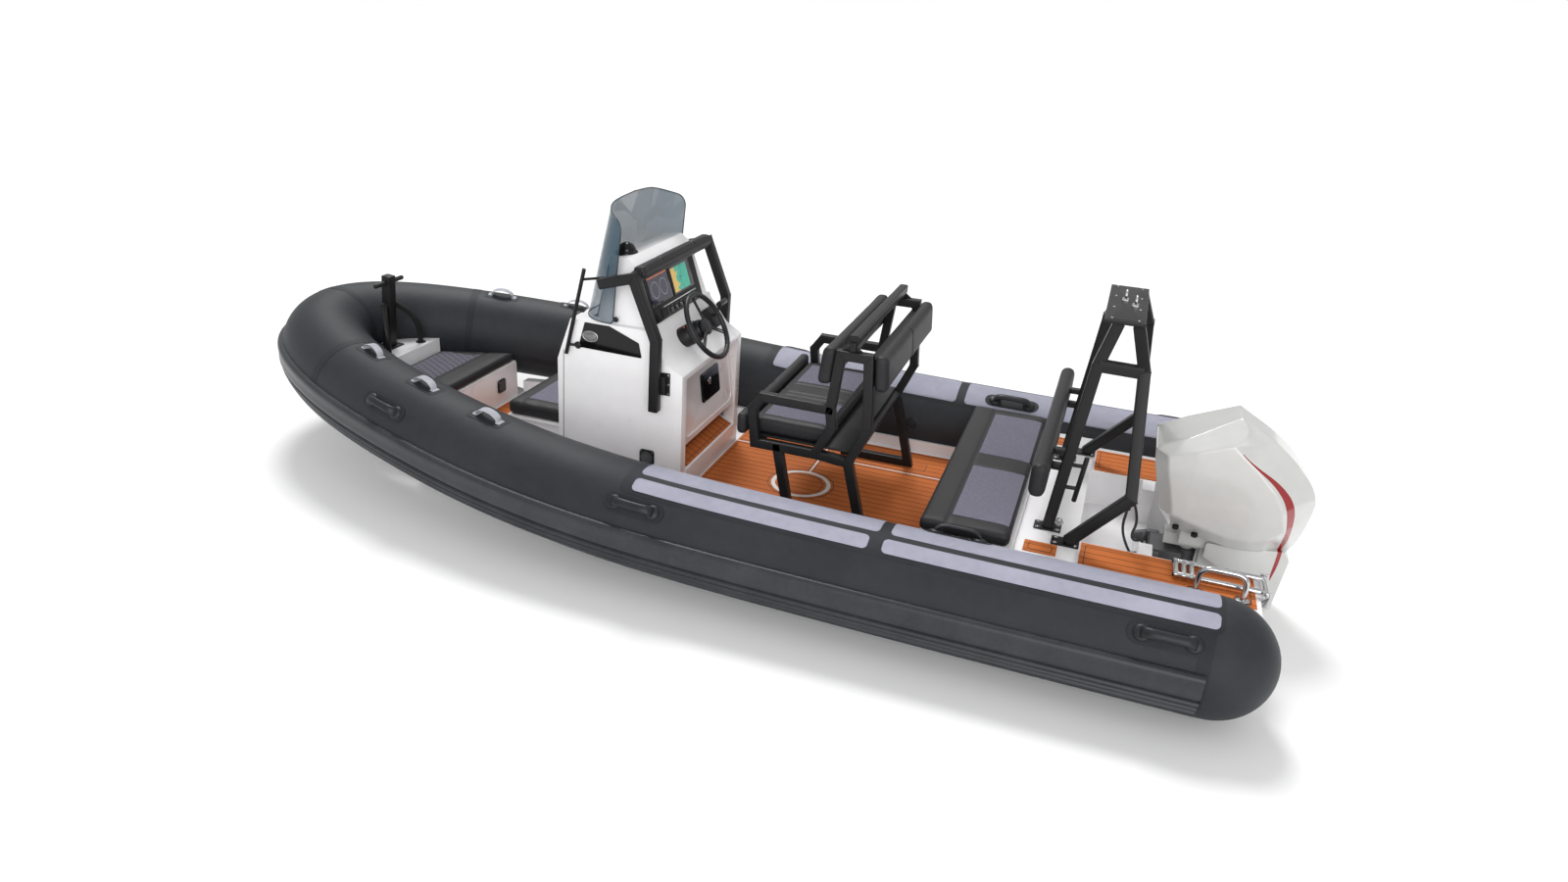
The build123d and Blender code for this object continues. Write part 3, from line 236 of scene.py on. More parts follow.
def turned(profile, origin=(0, 0, 0), axis=(0, 0, 1), steps=32):
    # profile of (radius, distance along the axis) turned once round it
    profile = np.asarray(profile, float)
    axis = unit(axis)
    side = unit(np.cross(axis, (0.3, 0.9, 0.2) if abs(axis[0]) > 0.5 else (0.9, 0.2, 0.3)))
    other = np.cross(axis, side)
    angle = turns(steps)
    ring = np.cos(angle)[:, None] * side + np.sin(angle)[:, None] * other
    rows = np.asarray(origin) + profile[:, 1, None, None] * axis + profile[:, 0, None, None] * ring[None]
    return outward(gridShell(rows, startCap=profile[0, 0] > 1e-6, endCap=profile[-1, 0] > 1e-6))


def bolt(origin, axis, radius=0.007, height=0.005):
    # domed head with a socket
    profile = [(radius * 1.5, 0), (radius * 1.5, height * 0.25), (radius, height * 0.3), (radius, height * 0.7),
               (radius * 0.85, height), (radius * 0.5, height), (radius * 0.45, height * 0.55), (0, height * 0.5)]
    return turned(profile, origin, axis, 16)


def carried(path, profile, side=None, closed=False, caps=True):
    # profile (a, b) carried along a path: point + a*side + b*(side x direction), side kept square to the path
    path = np.asarray(path, float)
    if closed:
        direction = unit(np.roll(path, -1, axis=0) - np.roll(path, 1, axis=0))
    else:
        direction = unit(np.gradient(path, axis=0))
    if side is None:
        side = np.linalg.eigh(np.cov(path.T))[1][:, 0]
    across = np.broadcast_to(np.asarray(side, float), path.shape)
    across = unit(across - (across * direction).sum(axis=1, keepdims=True) * direction)
    over = np.cross(across, direction)
    profile = np.asarray(profile, float)
    rows = path[:, None] + profile[None, :, :1] * across[:, None] + profile[None, :, 1:] * over[:, None]
    ends = caps and not closed
    return outward(gridShell(rows, startCap=ends, endCap=ends, pathClosed=closed))


def ringProfile(radius, steps=16, flat=1.0):
    angle = turns(steps)
    return np.stack((radius * np.cos(angle), radius * flat * np.sin(angle)), axis=1)


def bentPath(points, corner, steps=10):
    # straight runs joined by parabolas at the inner corners
    p = np.asarray(points, float)
    inner = p[1:-1]
    before, after = p[:-2] - inner, p[2:] - inner
    reach = np.minimum(corner, 0.45 * np.minimum(np.linalg.norm(before, axis=1), np.linalg.norm(after, axis=1)))
    start, end = inner + unit(before) * reach[:, None], inner + unit(after) * reach[:, None]
    t = np.linspace(0, 1, steps)[None, :, None]
    arcs = (1 - t) ** 2 * start[:, None] + 2 * t * (1 - t) * inner[:, None] + t ** 2 * end[:, None]
    return np.vstack((p[:1], arcs.reshape(-1, 3), p[-1:]))


def roundBar(start, end, radius, edge=0.002, steps=24):
    # straight bar with eased ends
    run = np.subtract(end, start)
    length = float(np.linalg.norm(run))
    shoulder = radius - edge * 0.3
    profile = [(0, 0), (radius - edge, 0), (shoulder, edge * 0.3), (radius, edge), (radius, length - edge),
               (shoulder, length - edge * 0.3), (radius - edge, length), (0, length)]
    return turned(profile, start, run, steps)


def squareTube(points, size, side=(0, 1, 0), corner=0.006, weld=0.0016, capEdge=0.003):
    # rounded square carried along straight runs and cut at the bisecting plane of each corner; a thin bead lies there
    p = np.asarray(points, float)
    half = size / 2
    section = roundedOutline([(-half, -half), (half, -half), (half, half), (-half, half)], corner, 5)
    runs = unit(p[1:] - p[:-1])
    rows, beads = [], []
    for k, run in enumerate(runs):
        across = unit(np.asarray(side, float) - np.dot(side, run) * run)
        over = np.cross(across, run)
        flat = section[:, :1] * across + section[:, 1:] * over
        for end in (k, k + 1):
            if 0 < end < len(p) - 1:
                cut = unit(runs[end - 1] + runs[end])
                ring = p[end] + flat - ((flat @ cut) / (run @ cut))[:, None] * run
                beads.append(ring)
                rows.append(ring)
            else:
                inward = run if end == 0 else -run
                eased = [p[end] + flat * (1 - capEdge / half), p[end] + inward * capEdge + flat]
                rows.extend(eased if end == 0 else eased[::-1])
    shells = [outward(gridShell(rows, startCap=True, endCap=True))]
    for ring in beads[::2]:
        middle = ring.mean(axis=0)
        grown = middle + (ring - middle) * (1 + weld * 0.2 / half)
        normal = unit(np.cross(grown[1] - grown[0], grown[len(grown) // 2] - grown[0]))
        shells.append(carried(grown, ringProfile(weld, 6), side=normal, closed=True))
    return shells


# each slot with the finishes that take it, unless a piece names another
slots = {
    "collar_fabric": ("collarCoat", "stepPad"), "rubber": ("strakeRubber", "mouldedRubber", "collarTape"),
    "strap_webbing": ("greyWebbing",), "foam_deck": ("deckFoam", "deckLine", "deckSeam"), "gelcoat": ("gelcoat",),
    "stainless": ("stainless", "brightTrim"), "black_plastic": ("blackPlastic", "glossBlack", "orangeMark"),
    "black_coated_metal": ("blackCoat",), "tinted_glass": ("screenTint", "tintEdge"), "lamp_lens": ("lensClear",),
    "motor_paint": ("motorPaint",),
}
slotOf = {finishName: slotName for slotName, names in slots.items() for finishName in names}


def makePiece(name, shells, material, body="boat", slotName=None, sharp=38, hides=(), subdivide=0):
    # one object from several shapes, with its place in its mesh
    slotName = slotName or slotOf[material.name.split(".")[0]]
    sizes = np.cumsum([0] + [len(s[0]) for s in shells])
    points = np.vstack([s[0] for s in shells])
    faces = []
    for shell, first in zip(shells, sizes):
        faces += (np.asarray(shell[1], int) + first).tolist() + (np.asarray(shell[2], int) + first).tolist()
    mesh = bpy.data.meshes.new(name)
    mesh.from_pydata(points.tolist(), [], faces)
    work = bmesh.new()
    work.from_mesh(mesh)
    bmesh.ops.remove_doubles(work, verts=work.verts, dist=2e-6)
    bmesh.ops.dissolve_degenerate(work, edges=work.edges, dist=1e-7)
    work.to_mesh(mesh)
    work.free()
    return finishPiece(name, mesh, material, body, sharp, hides, subdivide)


def finishPiece(name, mesh, material, body, sharp, hides, subdivide=0):
    mesh.materials.clear()
    mesh.materials.append(material)
    mesh.shade_smooth()
    if sharp:
        mesh.set_sharp_from_angle(angle=math.radians(sharp))
    piece = bpy.data.objects.new(name, mesh)
    bpy.context.scene.collection.objects.link(piece)
    if subdivide:
        modifier = piece.modifiers.new("subdivision", "SUBSURF")
        modifier.levels = modifier.render_levels = subdivide
    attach(piece, body)
    if hides:
        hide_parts(*hides)
    return piece


def applied(piece):
    # the mesh with its modifiers worked in
    depsgraph = bpy.context.evaluated_depsgraph_get()
    mesh = bpy.data.meshes.new_from_object(piece.evaluated_get(depsgraph))
    piece.modifiers.clear()
    return mesh


def eased(name, node, material, width=0.006, segments=3, sharp=32, angle=28, slotName=None):
    # a copy of a moulding with its edges rounded
    mesh = frame["nodes"][node].data.copy()
    work = bmesh.new()
    work.from_mesh(mesh)
    bmesh.ops.remove_doubles(work, verts=work.verts, dist=1e-5)
    bmesh.ops.dissolve_limit(work, angle_limit=math.radians(0.6), verts=work.verts, edges=work.edges)
    work.to_mesh(mesh)
    work.free()
    piece = bpy.data.objects.new(name + "Work", mesh)
    bpy.context.scene.collection.objects.link(piece)
    modifier = piece.modifiers.new("bevel", "BEVEL")
    modifier.width = width
    modifier.segments = segments
    modifier.limit_method = "ANGLE"
    modifier.angle_limit = math.radians(angle)
    modifier.use_clamp_overlap = True
    modifier.miter_outer = "MITER_ARC"
    bpy.context.view_layer.update()
    final = applied(piece)
    bpy.data.objects.remove(piece)
    final.name = name
    bodyName = frame["nodes"][node]["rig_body"]
    return finishPiece(name, final, material, bodyName, sharp, (node,))


print("shape tools")

# finishes


def shade(red, green, blue):
    # display colour 0 to 255 as the linear value that a shader takes
    c = np.array((red, green, blue)) / 255
    linear = np.where(c <= 0.04045, c / 12.92, ((c + 0.055) / 1.055) ** 2.4)
    return tuple(float(v) for v in linear) + (1.0,)


def calc(tree, operation, *values):
    # one Math node: numbers are set, sockets are joined
    made = tree.nodes.new("ShaderNodeMath")
    made.operation = operation
    for k, value in enumerate(values):
        if isinstance(value, (int, float)):
            made.inputs[k].default_value = value
        else:
            tree.links.new(value, made.inputs[k])
    return made.outputs[0]


def vectorCalc(tree, operation, *values):
    # one Vector Math node on sockets
    made = tree.nodes.new("ShaderNodeVectorMath")
    made.operation = operation
    for k, value in enumerate(values):
        tree.links.new(value, made.inputs[k])
    return made.outputs["Value" if operation == "DOT_PRODUCT" else "Vector"]


def splitVector(tree, vector):
    made = tree.nodes.new("ShaderNodeSeparateXYZ")
    tree.links.new(vector, made.inputs[0])
    return made.outputs[0], made.outputs[1], made.outputs[2]


def texture(tree, kind, vector, scale, **facts):
    # a texture node; each fact is a property or an input
    made = tree.nodes.new("ShaderNodeTex" + kind)
    for key, value in facts.items():
        if hasattr(made, key):
            setattr(made, key, value)
        else:
            made.inputs[key].default_value = value
    if vector is not None:
        tree.links.new(vector, made.inputs["Vector"])
    if isinstance(scale, (int, float)):
        made.inputs["Scale"].default_value = scale
    else:
        tree.links.new(scale, made.inputs["Scale"])
    return made


def newGroup(name, inputs, outputs):
    # a shader group with named sockets
    group = bpy.data.node_groups.new(name, "ShaderNodeTree")
    for label, kind, value in inputs:
        socket = group.interface.new_socket(name=label, in_out="INPUT", socket_type="NodeSocket" + kind)
        if value is not None:
            socket.default_value = value
    for label in outputs:
        group.interface.new_socket(name=label, in_out="OUTPUT", socket_type="NodeSocketFloat")
    return group, group.nodes.new("NodeGroupInput").outputs, group.nodes.new("NodeGroupOutput").inputs


# slow mottling from 0 to 1, with a finer one on it
mottleGroup, given, wanted = newGroup("mottle", [("Vector", "Vector", None), ("Scale", "Float", 3.0)], ["Tone"])
broad = texture(mottleGroup, "Noise", given["Vector"], given["Scale"], Detail=4.0, Roughness=0.62)
fine = texture(mottleGroup, "Noise", given["Vector"], calc(mottleGroup, "MULTIPLY", given["Scale"], 9.0), Detail=3.0)
both = calc(mottleGroup, "ADD", calc(mottleGroup, "MULTIPLY", broad.outputs["Fac"], 0.7),
            calc(mottleGroup, "MULTIPLY", fine.outputs["Fac"], 0.3))
spread = calc(mottleGroup, "MULTIPLY_ADD", both, 2.6, -0.8)
clipped = mottleGroup.nodes.new("ShaderNodeClamp")
mottleGroup.links.new(spread, clipped.inputs[0])
mottleGroup.links.new(clipped.outputs[0], wanted["Tone"])

# pebbled grain: cells with rounded tops, plus a fine noise
grainGroup, given, wanted = newGroup("grain", [("Vector", "Vector", None), ("Scale", "Float", 600.0)], ["Height"])
cells = texture(grainGroup, "Voronoi", given["Vector"], given["Scale"], feature="SMOOTH_F1")
grit = texture(grainGroup, "Noise", given["Vector"], calc(grainGroup, "MULTIPLY", given["Scale"], 0.6), Detail=4.0)
height = calc(grainGroup, "ADD", calc(grainGroup, "MULTIPLY", cells.outputs["Distance"], -0.8), grit.outputs["Fac"])
grainGroup.links.new(height, wanted["Height"])

# plain weave: the product of two sines across each pair of axes
weaveGroup, given, wanted = newGroup("weave", [("Vector", "Vector", None), ("Pitch", "Float", 0.003)],
                                     ["Height", "Mask"])
sines = []
for axis in splitVector(weaveGroup, given["Vector"]):
    phase = calc(weaveGroup, "DIVIDE", axis, given["Pitch"])
    sines.append(calc(weaveGroup, "SINE", calc(weaveGroup, "MULTIPLY", phase, 2 * math.pi)))
height = calc(weaveGroup, "MULTIPLY_ADD", calc(weaveGroup, "ADD", sines[0], sines[2]), sines[1], 0.0)
weaveGroup.links.new(height, wanted["Height"])
weaveGroup.links.new(calc(weaveGroup, "GREATER_THAN", height, 0.0), wanted["Mask"])

# diamond quilting: lines at 45 degrees in plan, a pitch apart
quiltGroup, given, wanted = newGroup("quilt", [("Vector", "Vector", None), ("Pitch", "Float", 0.03),
                                               ("Across", "Vector", (0, 1, 0)), ("Along", "Vector", (1, 0, 0))],
                                     ["Line", "Height"])
run, rise = (calc(quiltGroup, "DIVIDE", vectorCalc(quiltGroup, "DOT_PRODUCT", given["Vector"], given[axis]),
                  given["Pitch"]) for axis in ("Along", "Across"))
distances = []
for slope in ("ADD", "SUBTRACT"):
    along = calc(quiltGroup, slope, calc(quiltGroup, "MULTIPLY", run, 0.6), rise)
    centred = calc(quiltGroup, "SUBTRACT", calc(quiltGroup, "FRACT", along), 0.5)
    distances.append(calc(quiltGroup, "ABSOLUTE", centred))
nearest = calc(quiltGroup, "MINIMUM", distances[0], distances[1])
quiltGroup.links.new(calc(quiltGroup, "LESS_THAN", nearest, 0.075), wanted["Line"])
quiltGroup.links.new(calc(quiltGroup, "POWER", calc(quiltGroup, "MULTIPLY", nearest, 2.0), 0.35), wanted["Height"])

# planks along X: a dark line each pitch, and a tone for each plank with streaks along it
plankGroup, given, wanted = newGroup("planks", [("Vector", "Vector", None), ("Pitch", "Float", 0.05),
                                                ("Line", "Float", 0.06)], ["Caulk", "Tone"])
x, y = splitVector(plankGroup, given["Vector"])[:2]
row = calc(plankGroup, "DIVIDE", y, given["Pitch"])
edge = calc(plankGroup, "ABSOLUTE", calc(plankGroup, "SUBTRACT", calc(plankGroup, "FRACT", row), 0.5))
lineFrom = calc(plankGroup, "SUBTRACT", 0.5, calc(plankGroup, "MULTIPLY", given["Line"], 0.5))
plankGroup.links.new(calc(plankGroup, "GREATER_THAN", edge, lineFrom), wanted["Caulk"])
stretched = plankGroup.nodes.new("ShaderNodeCombineXYZ")
plankGroup.links.new(calc(plankGroup, "MULTIPLY", x, 0.06), stretched.inputs[0])
plankGroup.links.new(y, stretched.inputs[1])
plankGroup.links.new(calc(plankGroup, "FLOOR", row), stretched.inputs[2])
streaks = texture(plankGroup, "Noise", stretched.outputs[0], 160.0, Detail=5.0, Roughness=0.7)
plankGroup.links.new(streaks.outputs["Fac"], wanted["Tone"])

# a box with soft sides: 1 inside, and a band along its border
panelGroup, given, wanted = newGroup("panel", [("Vector", "Vector", None), ("Centre", "Vector", (0, 0, 0)),
                                               ("Half", "Vector", (0.1, 0.1, 0.1)), ("Border", "Float", 0.004)],
                                     ["Mask", "Seam"])
reach = vectorCalc(panelGroup, "ABSOLUTE", vectorCalc(panelGroup, "SUBTRACT", given["Vector"], given["Centre"]))
beyond = splitVector(panelGroup, vectorCalc(panelGroup, "SUBTRACT", reach, given["Half"]))
most = calc(panelGroup, "MAXIMUM", calc(panelGroup, "MAXIMUM", beyond[0], beyond[1]), beyond[2])
panelGroup.links.new(calc(panelGroup, "LESS_THAN", most, 0.0), wanted["Mask"])
panelGroup.links.new(calc(panelGroup, "LESS_THAN", calc(panelGroup, "ABSOLUTE", most), given["Border"]),
                     wanted["Seam"])


def placed(tree, group, vector, **values):
    # an instance of a group with its own numbers
    made = tree.nodes.new("ShaderNodeGroup")
    made.node_tree = group
    tree.links.new(vector, made.inputs["Vector"])
    for key, value in values.items():
        made.inputs[key].default_value = value
    return made.outputs


def blended(tree, factor, first, second):
    # colour between two, by a factor
    made = tree.nodes.new("ShaderNodeMix")
    made.data_type = "RGBA"
    tree.links.new(factor, made.inputs[0])
    for value, socket in ((first, made.inputs[6]), (second, made.inputs[7])):
        if isinstance(value, tuple):
            socket.default_value = value
        else:
            tree.links.new(value, socket)
    return made.outputs[2]


def finish(name, dark, light, roughness, roughSpread=0.06, toneScale=3.0, bumpGroup=None, bumpSize=600.0,
           bumpDepth=0.0003, bumpStrength=0.3, source="Object", **sockets):
    # a surface between two display colours by slow mottling, with roughness that varies and a fine relief
    material = bpy.data.materials.new(name)
    material.use_nodes = True
    tree = material.node_tree
    shader = tree.nodes["Principled BSDF"]
    for key, value in sockets.items():
        shader.inputs[key.replace("_", " ")].default_value = value
    place = tree.nodes.new("ShaderNodeTexCoord").outputs[source]
    tone = placed(tree, mottleGroup, place, Scale=toneScale)["Tone"]
    colour = blended(tree, tone, shade(*dark), shade(*light))
    tree.links.new(colour, shader.inputs["Base Color"])
    tree.links.new(calc(tree, "MULTIPLY_ADD", tone, roughSpread, roughness - roughSpread / 2),
                   shader.inputs["Roughness"])
    if bumpGroup:
        key = "Pitch" if bumpGroup is weaveGroup else "Scale"
        relief = placed(tree, bumpGroup, place, **{key: bumpSize})["Height"]
        addRelief(tree, shader, relief, bumpStrength, bumpDepth)
    return material


def addRelief(tree, shader, height, strength, distance):
    # a bump on top of any that is there
    made = tree.nodes.new("ShaderNodeBump")
    made.inputs["Strength"].default_value = strength
    made.inputs["Distance"].default_value = distance
    tree.links.new(height, made.inputs["Height"])
    if shader.inputs["Normal"].is_linked:
        tree.links.new(shader.inputs["Normal"].links[0].from_socket, made.inputs["Normal"])
    tree.links.new(made.outputs[0], shader.inputs["Normal"])


def overColour(material, mask, colour):
    # paints a colour where the mask is 1
    tree = material.node_tree
    base = tree.nodes["Principled BSDF"].inputs["Base Color"]
    tree.links.new(blended(tree, mask, base.links[0].from_socket, colour), base)


def objectPlace(material):
    # the point in the part's own frame
    return material.node_tree.nodes.new("ShaderNodeTexCoord").outputs["Object"]


collarCoat = finish("collarCoat", (36, 38, 42), (47, 49, 53), 0.5, 0.1, 2.2, weaveGroup, 0.0016, 0.0003,
                    0.3, Specular_IOR_Level=0.22)
collarTape = finish("collarTape", (32, 34, 38), (42, 44, 48), 0.55, 0.08, 4.0, weaveGroup, 0.0016, 0.0003,
                    0.3, Specular_IOR_Level=0.2)
stepPad = finish("stepPad", (142, 143, 160), (166, 166, 182), 0.62, 0.1, 3.0, weaveGroup, 0.003, 0.0006, 0.5)
strakeRubber = finish("strakeRubber", (40, 41, 44), (54, 56, 60), 0.34, 0.1, 5.0, grainGroup, 900.0,
                      Specular_IOR_Level=0.3)
mouldedRubber = finish("mouldedRubber", (26, 27, 30), (38, 39, 43), 0.42, 0.1, 9.0, grainGroup, 1100.0,
                       Specular_IOR_Level=0.3)
greyWebbing = finish("greyWebbing", (168, 170, 180), (196, 197, 204), 0.75, 0.08, 20.0, weaveGroup, 0.0022,
                     0.0008, 0.7)
gelcoat = finish("gelcoat", (230, 228, 230), (240, 239, 240), 0.3, 0.08, 1.6, grainGroup, 60.0, 0.0006, 0.06,
                 Coat_Weight=0.5, Coat_Roughness=0.12)
hullGelcoat = finish("hullGelcoat", (216, 216, 217), (230, 230, 231), 0.26, 0.08, 1.0, grainGroup, 40.0,
                     0.0006, 0.06, Coat_Weight=0.6, Coat_Roughness=0.1)
vinyl = {"dark": (34, 33, 35), "light": (44, 43, 45), "specular": 0.22}
seatVinyl = finish("seatVinyl", vinyl["dark"], vinyl["light"], 0.5, 0.1, 6.0, grainGroup, 700.0, 0.0005, 0.5,
                   Specular_IOR_Level=vinyl["specular"])
blackCoat = finish("blackCoat", (22, 22, 23), (31, 31, 32), 0.4, 0.14, 7.0, grainGroup, 450.0, 0.0004, 0.25,
                   Specular_IOR_Level=0.25)
blackPlastic = finish("blackPlastic", (22, 22, 24), (32, 32, 34), 0.36, 0.1, 12.0, grainGroup, 1200.0,
                      Specular_IOR_Level=0.3)
glossBlack = finish("glossBlack", (9, 9, 10), (14, 14, 15), 0.12, 0.06, 8.0, None, Coat_Weight=0.15,
                    Coat_Roughness=0.06, Specular_IOR_Level=0.25)
stainless = finish("stainless", (176, 176, 178), (208, 208, 210), 0.2, 0.14, 14.0, grainGroup, 800.0, 0.0002,
                   0.12, Metallic=1.0)
dullMetal = finish("dullMetal", (128, 130, 132), (172, 173, 174), 0.42, 0.16, 14.0, grainGroup, 300.0, 0.0006,
                   0.3, Metallic=0.8)
castMetal = finish("castMetal", (70, 70, 72), (104, 104, 106), 0.6, 0.16, 14.0, grainGroup, 200.0, 0.001, 0.5,
                   Metallic=0.5)
hoseRubber = finish("hoseRubber", (20, 20, 22), (34, 34, 36), 0.45, 0.1, 30.0, grainGroup, 1500.0)
motorPaint = finish("motorPaint", (190, 190, 188), (200, 200, 197), 0.24, 0.06, 2.5, grainGroup, 50.0, 0.0006,
                    0.05, Coat_Weight=0.7, Coat_Roughness=0.08)
gearPaint = finish("gearPaint", (196, 196, 194), (208, 208, 206), 0.3, 0.08, 4.0, grainGroup, 120.0, 0.0006,
                   0.08, Coat_Weight=0.5)
brightTrim = finish("brightTrim", (190, 190, 192), (215, 215, 217), 0.25, 0.1, 20.0, None, Metallic=0.9)
orangeMark = finish("orangeMark", (196, 78, 30), (210, 92, 40), 0.5, 0.1, 20.0, None)
deckSeam = finish("deckSeam", (214, 210, 206), (232, 229, 226), 0.6, 0.1, 10.0, grainGroup, 300.0)
deckLine = finish("deckLine", (44, 32, 28), (58, 44, 38), 0.65, 0.1, 10.0, grainGroup, 300.0)
for piece in hosePieces:
    piece.data.materials.append(hoseRubber)

# foam planks of the deck
deckFoam = finish("deckFoam", (182, 96, 44), (202, 114, 54), 0.72, 0.1, 2.0, grainGroup, 500.0, 0.0005, 0.4,
                  Specular_IOR_Level=0.2)
planks = placed(deckFoam.node_tree, plankGroup, objectPlace(deckFoam), Pitch=0.052, Line=0.085)
foamTree = deckFoam.node_tree
foamBase = foamTree.nodes["Principled BSDF"].inputs["Base Color"]
streaked = blended(foamTree, planks["Tone"], shade(168, 84, 38), shade(216, 126, 62))
softened = foamTree.nodes.new("ShaderNodeMix")
softened.data_type = "RGBA"
softened.inputs[0].default_value = 0.55
foamTree.links.new(foamBase.links[0].from_socket, softened.inputs[6])
foamTree.links.new(streaked, softened.inputs[7])
foamTree.links.new(softened.outputs[2], foamBase)
overColour(deckFoam, planks["Caulk"], shade(74, 36, 24))
addRelief(foamTree, foamTree.nodes["Principled BSDF"], calc(foamTree, "SUBTRACT", 1.0, planks["Caulk"]), 0.4, 0.001)

# tinted screen: deeper and less clear towards its top edge
screenTint = finish("screenTint", (26, 70, 90), (32, 76, 96), 0.04, 0.02, 2.0, None, IOR=1.49)
tintTree = screenTint.node_tree
tintHeight = splitVector(tintTree, objectPlace(screenTint))[2]
tintRamp = tintTree.nodes.new("ShaderNodeMapRange")
tintRamp.interpolation_type = "SMOOTHSTEP"
tintTree.links.new(tintHeight, tintRamp.inputs["Value"])
for key, value in (("From Min", 1.05), ("From Max", 1.32), ("To Min", 0.30), ("To Max", 0.58)):
    tintRamp.inputs[key].default_value = value
tintTree.links.new(tintRamp.outputs[0], tintTree.nodes["Principled BSDF"].inputs["Alpha"])
tintEdge = finish("tintEdge", (24, 36, 42), (34, 48, 54), 0.2, 0.05, 8.0, None)

# clear lamp lens
lensClear = finish("lensClear", (205, 208, 205), (225, 228, 225), 0.06, 0.04, 10.0, None, IOR=1.49,
                   Transmission_Weight=0.85)
print("finishes")

# the collar: one smooth centreline from the port stern round the bow to the starboard stern
collar = {
    "route": [(-0.25, 0.974, 0.259), (1.6, 0.974, 0.262), (2.795, 0.974, 0.339), (3.898, 0.709, 0.451),
              (4.492, 0.433, 0.529), (4.757, 0.149, 0.567)],
    "radius": 0.246,
    "rowStep": 0.03,
    "columns": 96,
    "tapeWidth": 0.05,
    "tapeAt": (-0.20, 4.195),
    "tapeLift": 0.0012,
    # tapes along the tube: between these stations, from each angle on, this wide
    "seamSpan": (-0.18, 4.17), "seamAngles": (-1.95, 2.35), "seamWide": 0.16, "seamLift": 0.001,
    "walkSpan": (-0.25, 2.30), "walkAngles": (-0.80, 0.70), "walkLift": 0.0007,
}


def smoothRoute(corners, steps=60):
    # parabolas through the middles of the runs, each pulled to its corner
    p = np.asarray(corners, float)
    start, end = (p[:-2] + p[1:-1]) / 2, (p[1:-1] + p[2:]) / 2
    start[0], end[-1] = p[0], p[-1]
    t = np.linspace(0, 1, steps)[None, :, None]
    arcs = (1 - t) ** 2 * start[:, None] + 2 * t * (1 - t) * p[1:-1, None] + t ** 2 * end[:, None]
    flat = arcs.reshape(-1, 3)
    keep = np.r_[True, np.linalg.norm(np.diff(flat, axis=0), axis=1) > 1e-6]
    return flat[keep]


portCorners = np.array(collar["route"])
centreLine = smoothRoute(np.vstack((portCorners, portCorners[::-1] * (1, -1, 1))))
centreRun = np.r_[0, np.cumsum(np.linalg.norm(np.diff(centreLine, axis=0), axis=1))]
evenRun = np.linspace(0, centreRun[-1], 1200)
centreLine = np.stack([np.interp(evenRun, centreRun, centreLine[:, k]) for k in range(3)], axis=1)
centreRun = evenRun
collarLength = centreRun[-1]
centreAhead = unit(np.gradient(centreLine, axis=0))
centreOut = unit(np.cross((0, 0, 1), centreAhead))
centreUp = np.cross(centreAhead, centreOut)
portHalf = slice(0, 600)


def runAt(x):
    # distance along the centreline of the port station x
    return np.interp(x, centreLine[portHalf, 0], centreRun[portHalf])


def bothRuns(x):
    # the two distances, port and starboard, of a station
    return runAt(x), collarLength - runAt(x)


def alongCollar(run, angle, lift=0.0):
    # centre + (radius + lift)*(sin(angle)*outboard + cos(angle)*upward)
    run, angle, lift = np.broadcast_arrays(run, angle, lift)
    centre, out, up = (np.stack([np.interp(run, centreRun, table[:, k]) for k in range(3)], axis=-1)
                       for table in (centreLine, centreOut, centreUp))
    reach = (collar["radius"] + lift)[..., None]
    return centre + reach * (np.sin(angle)[..., None] * out + np.cos(angle)[..., None] * up)


def collarSkin():
    # rings along the run, closed at each end by rings that shrink as a hemisphere
    angle = turns(collar["columns"])[None]
    run = np.linspace(0, collarLength, int(collarLength / collar["rowStep"]))[:, None]
    body = alongCollar(run, angle)
    cap = np.linspace(0, math.pi / 2, 16)[1:, None, None]
    radius = collar["radius"]
    ends = []
    for row, centre, ahead in ((body[0], centreLine[0], -centreAhead[0]),
                               (body[-1], centreLine[-1], centreAhead[-1])):
        ends.append(centre + (row - centre) * np.cos(cap) + ahead * radius * np.sin(cap))
    return outward(gridShell(np.concatenate((ends[0][::-1], body, ends[1]))))


def collarBand(run, width, lift):
    # a tape round the tube
    angle = turns(collar["columns"])[None]
    offset = np.array((-0.5, -0.5, -0.25, 0.25, 0.5, 0.5))[:, None] * width
    rise = np.array((-0.001, lift, lift, lift, lift, -0.001))[:, None]
    return gridShell(alongCollar(run + offset, angle, rise + 0 * angle))


def collarPatch(startRun, endRun, startAngle, endAngle, lift, corner):
    # sheet on the tube whose half width shrinks by corner - sqrt(corner^2 - (corner - d)^2) within corner of its ends
    reach = abs(endRun - startRun)
    near = np.r_[0, corner * (1 - np.cos(np.linspace(0, math.pi / 2, 9)))]
    middle = np.linspace(corner, reach - corner, max(3, int(reach / 0.04)))[1:-1]
    d = np.r_[near, middle, reach - near[::-1]]
    fromEnd = np.minimum(d, reach - d)
    shrink = corner - np.sqrt(np.maximum(corner ** 2 - np.maximum(corner - fromEnd, 0) ** 2, 0))
    halfWidth = abs(endAngle - startAngle) / 2 - shrink / collar["radius"]
    across = np.r_[-1, -1, np.linspace(-0.985, 0.985, 15), 1, 1][None]
    rise = np.r_[-0.0006, lift * 0.6, np.full(15, lift), lift * 0.6, -0.0006][None] * np.ones((len(d), 1))
    rise[0], rise[-1] = -0.0006, -0.0006
    run = min(startRun, endRun) + d[:, None]
    rows = alongCollar(run, (startAngle + endAngle) / 2 + across * halfWidth[:, None], rise)
    return flipped(gridShell(rows, ringClosed=False))


def bothSides(make, x0, x1, *values):
    # a patch between two stations on the port tube, and its twin to starboard
    return [make(start, end, *values) for start, end in zip(bothRuns(x0), bothRuns(x1))]


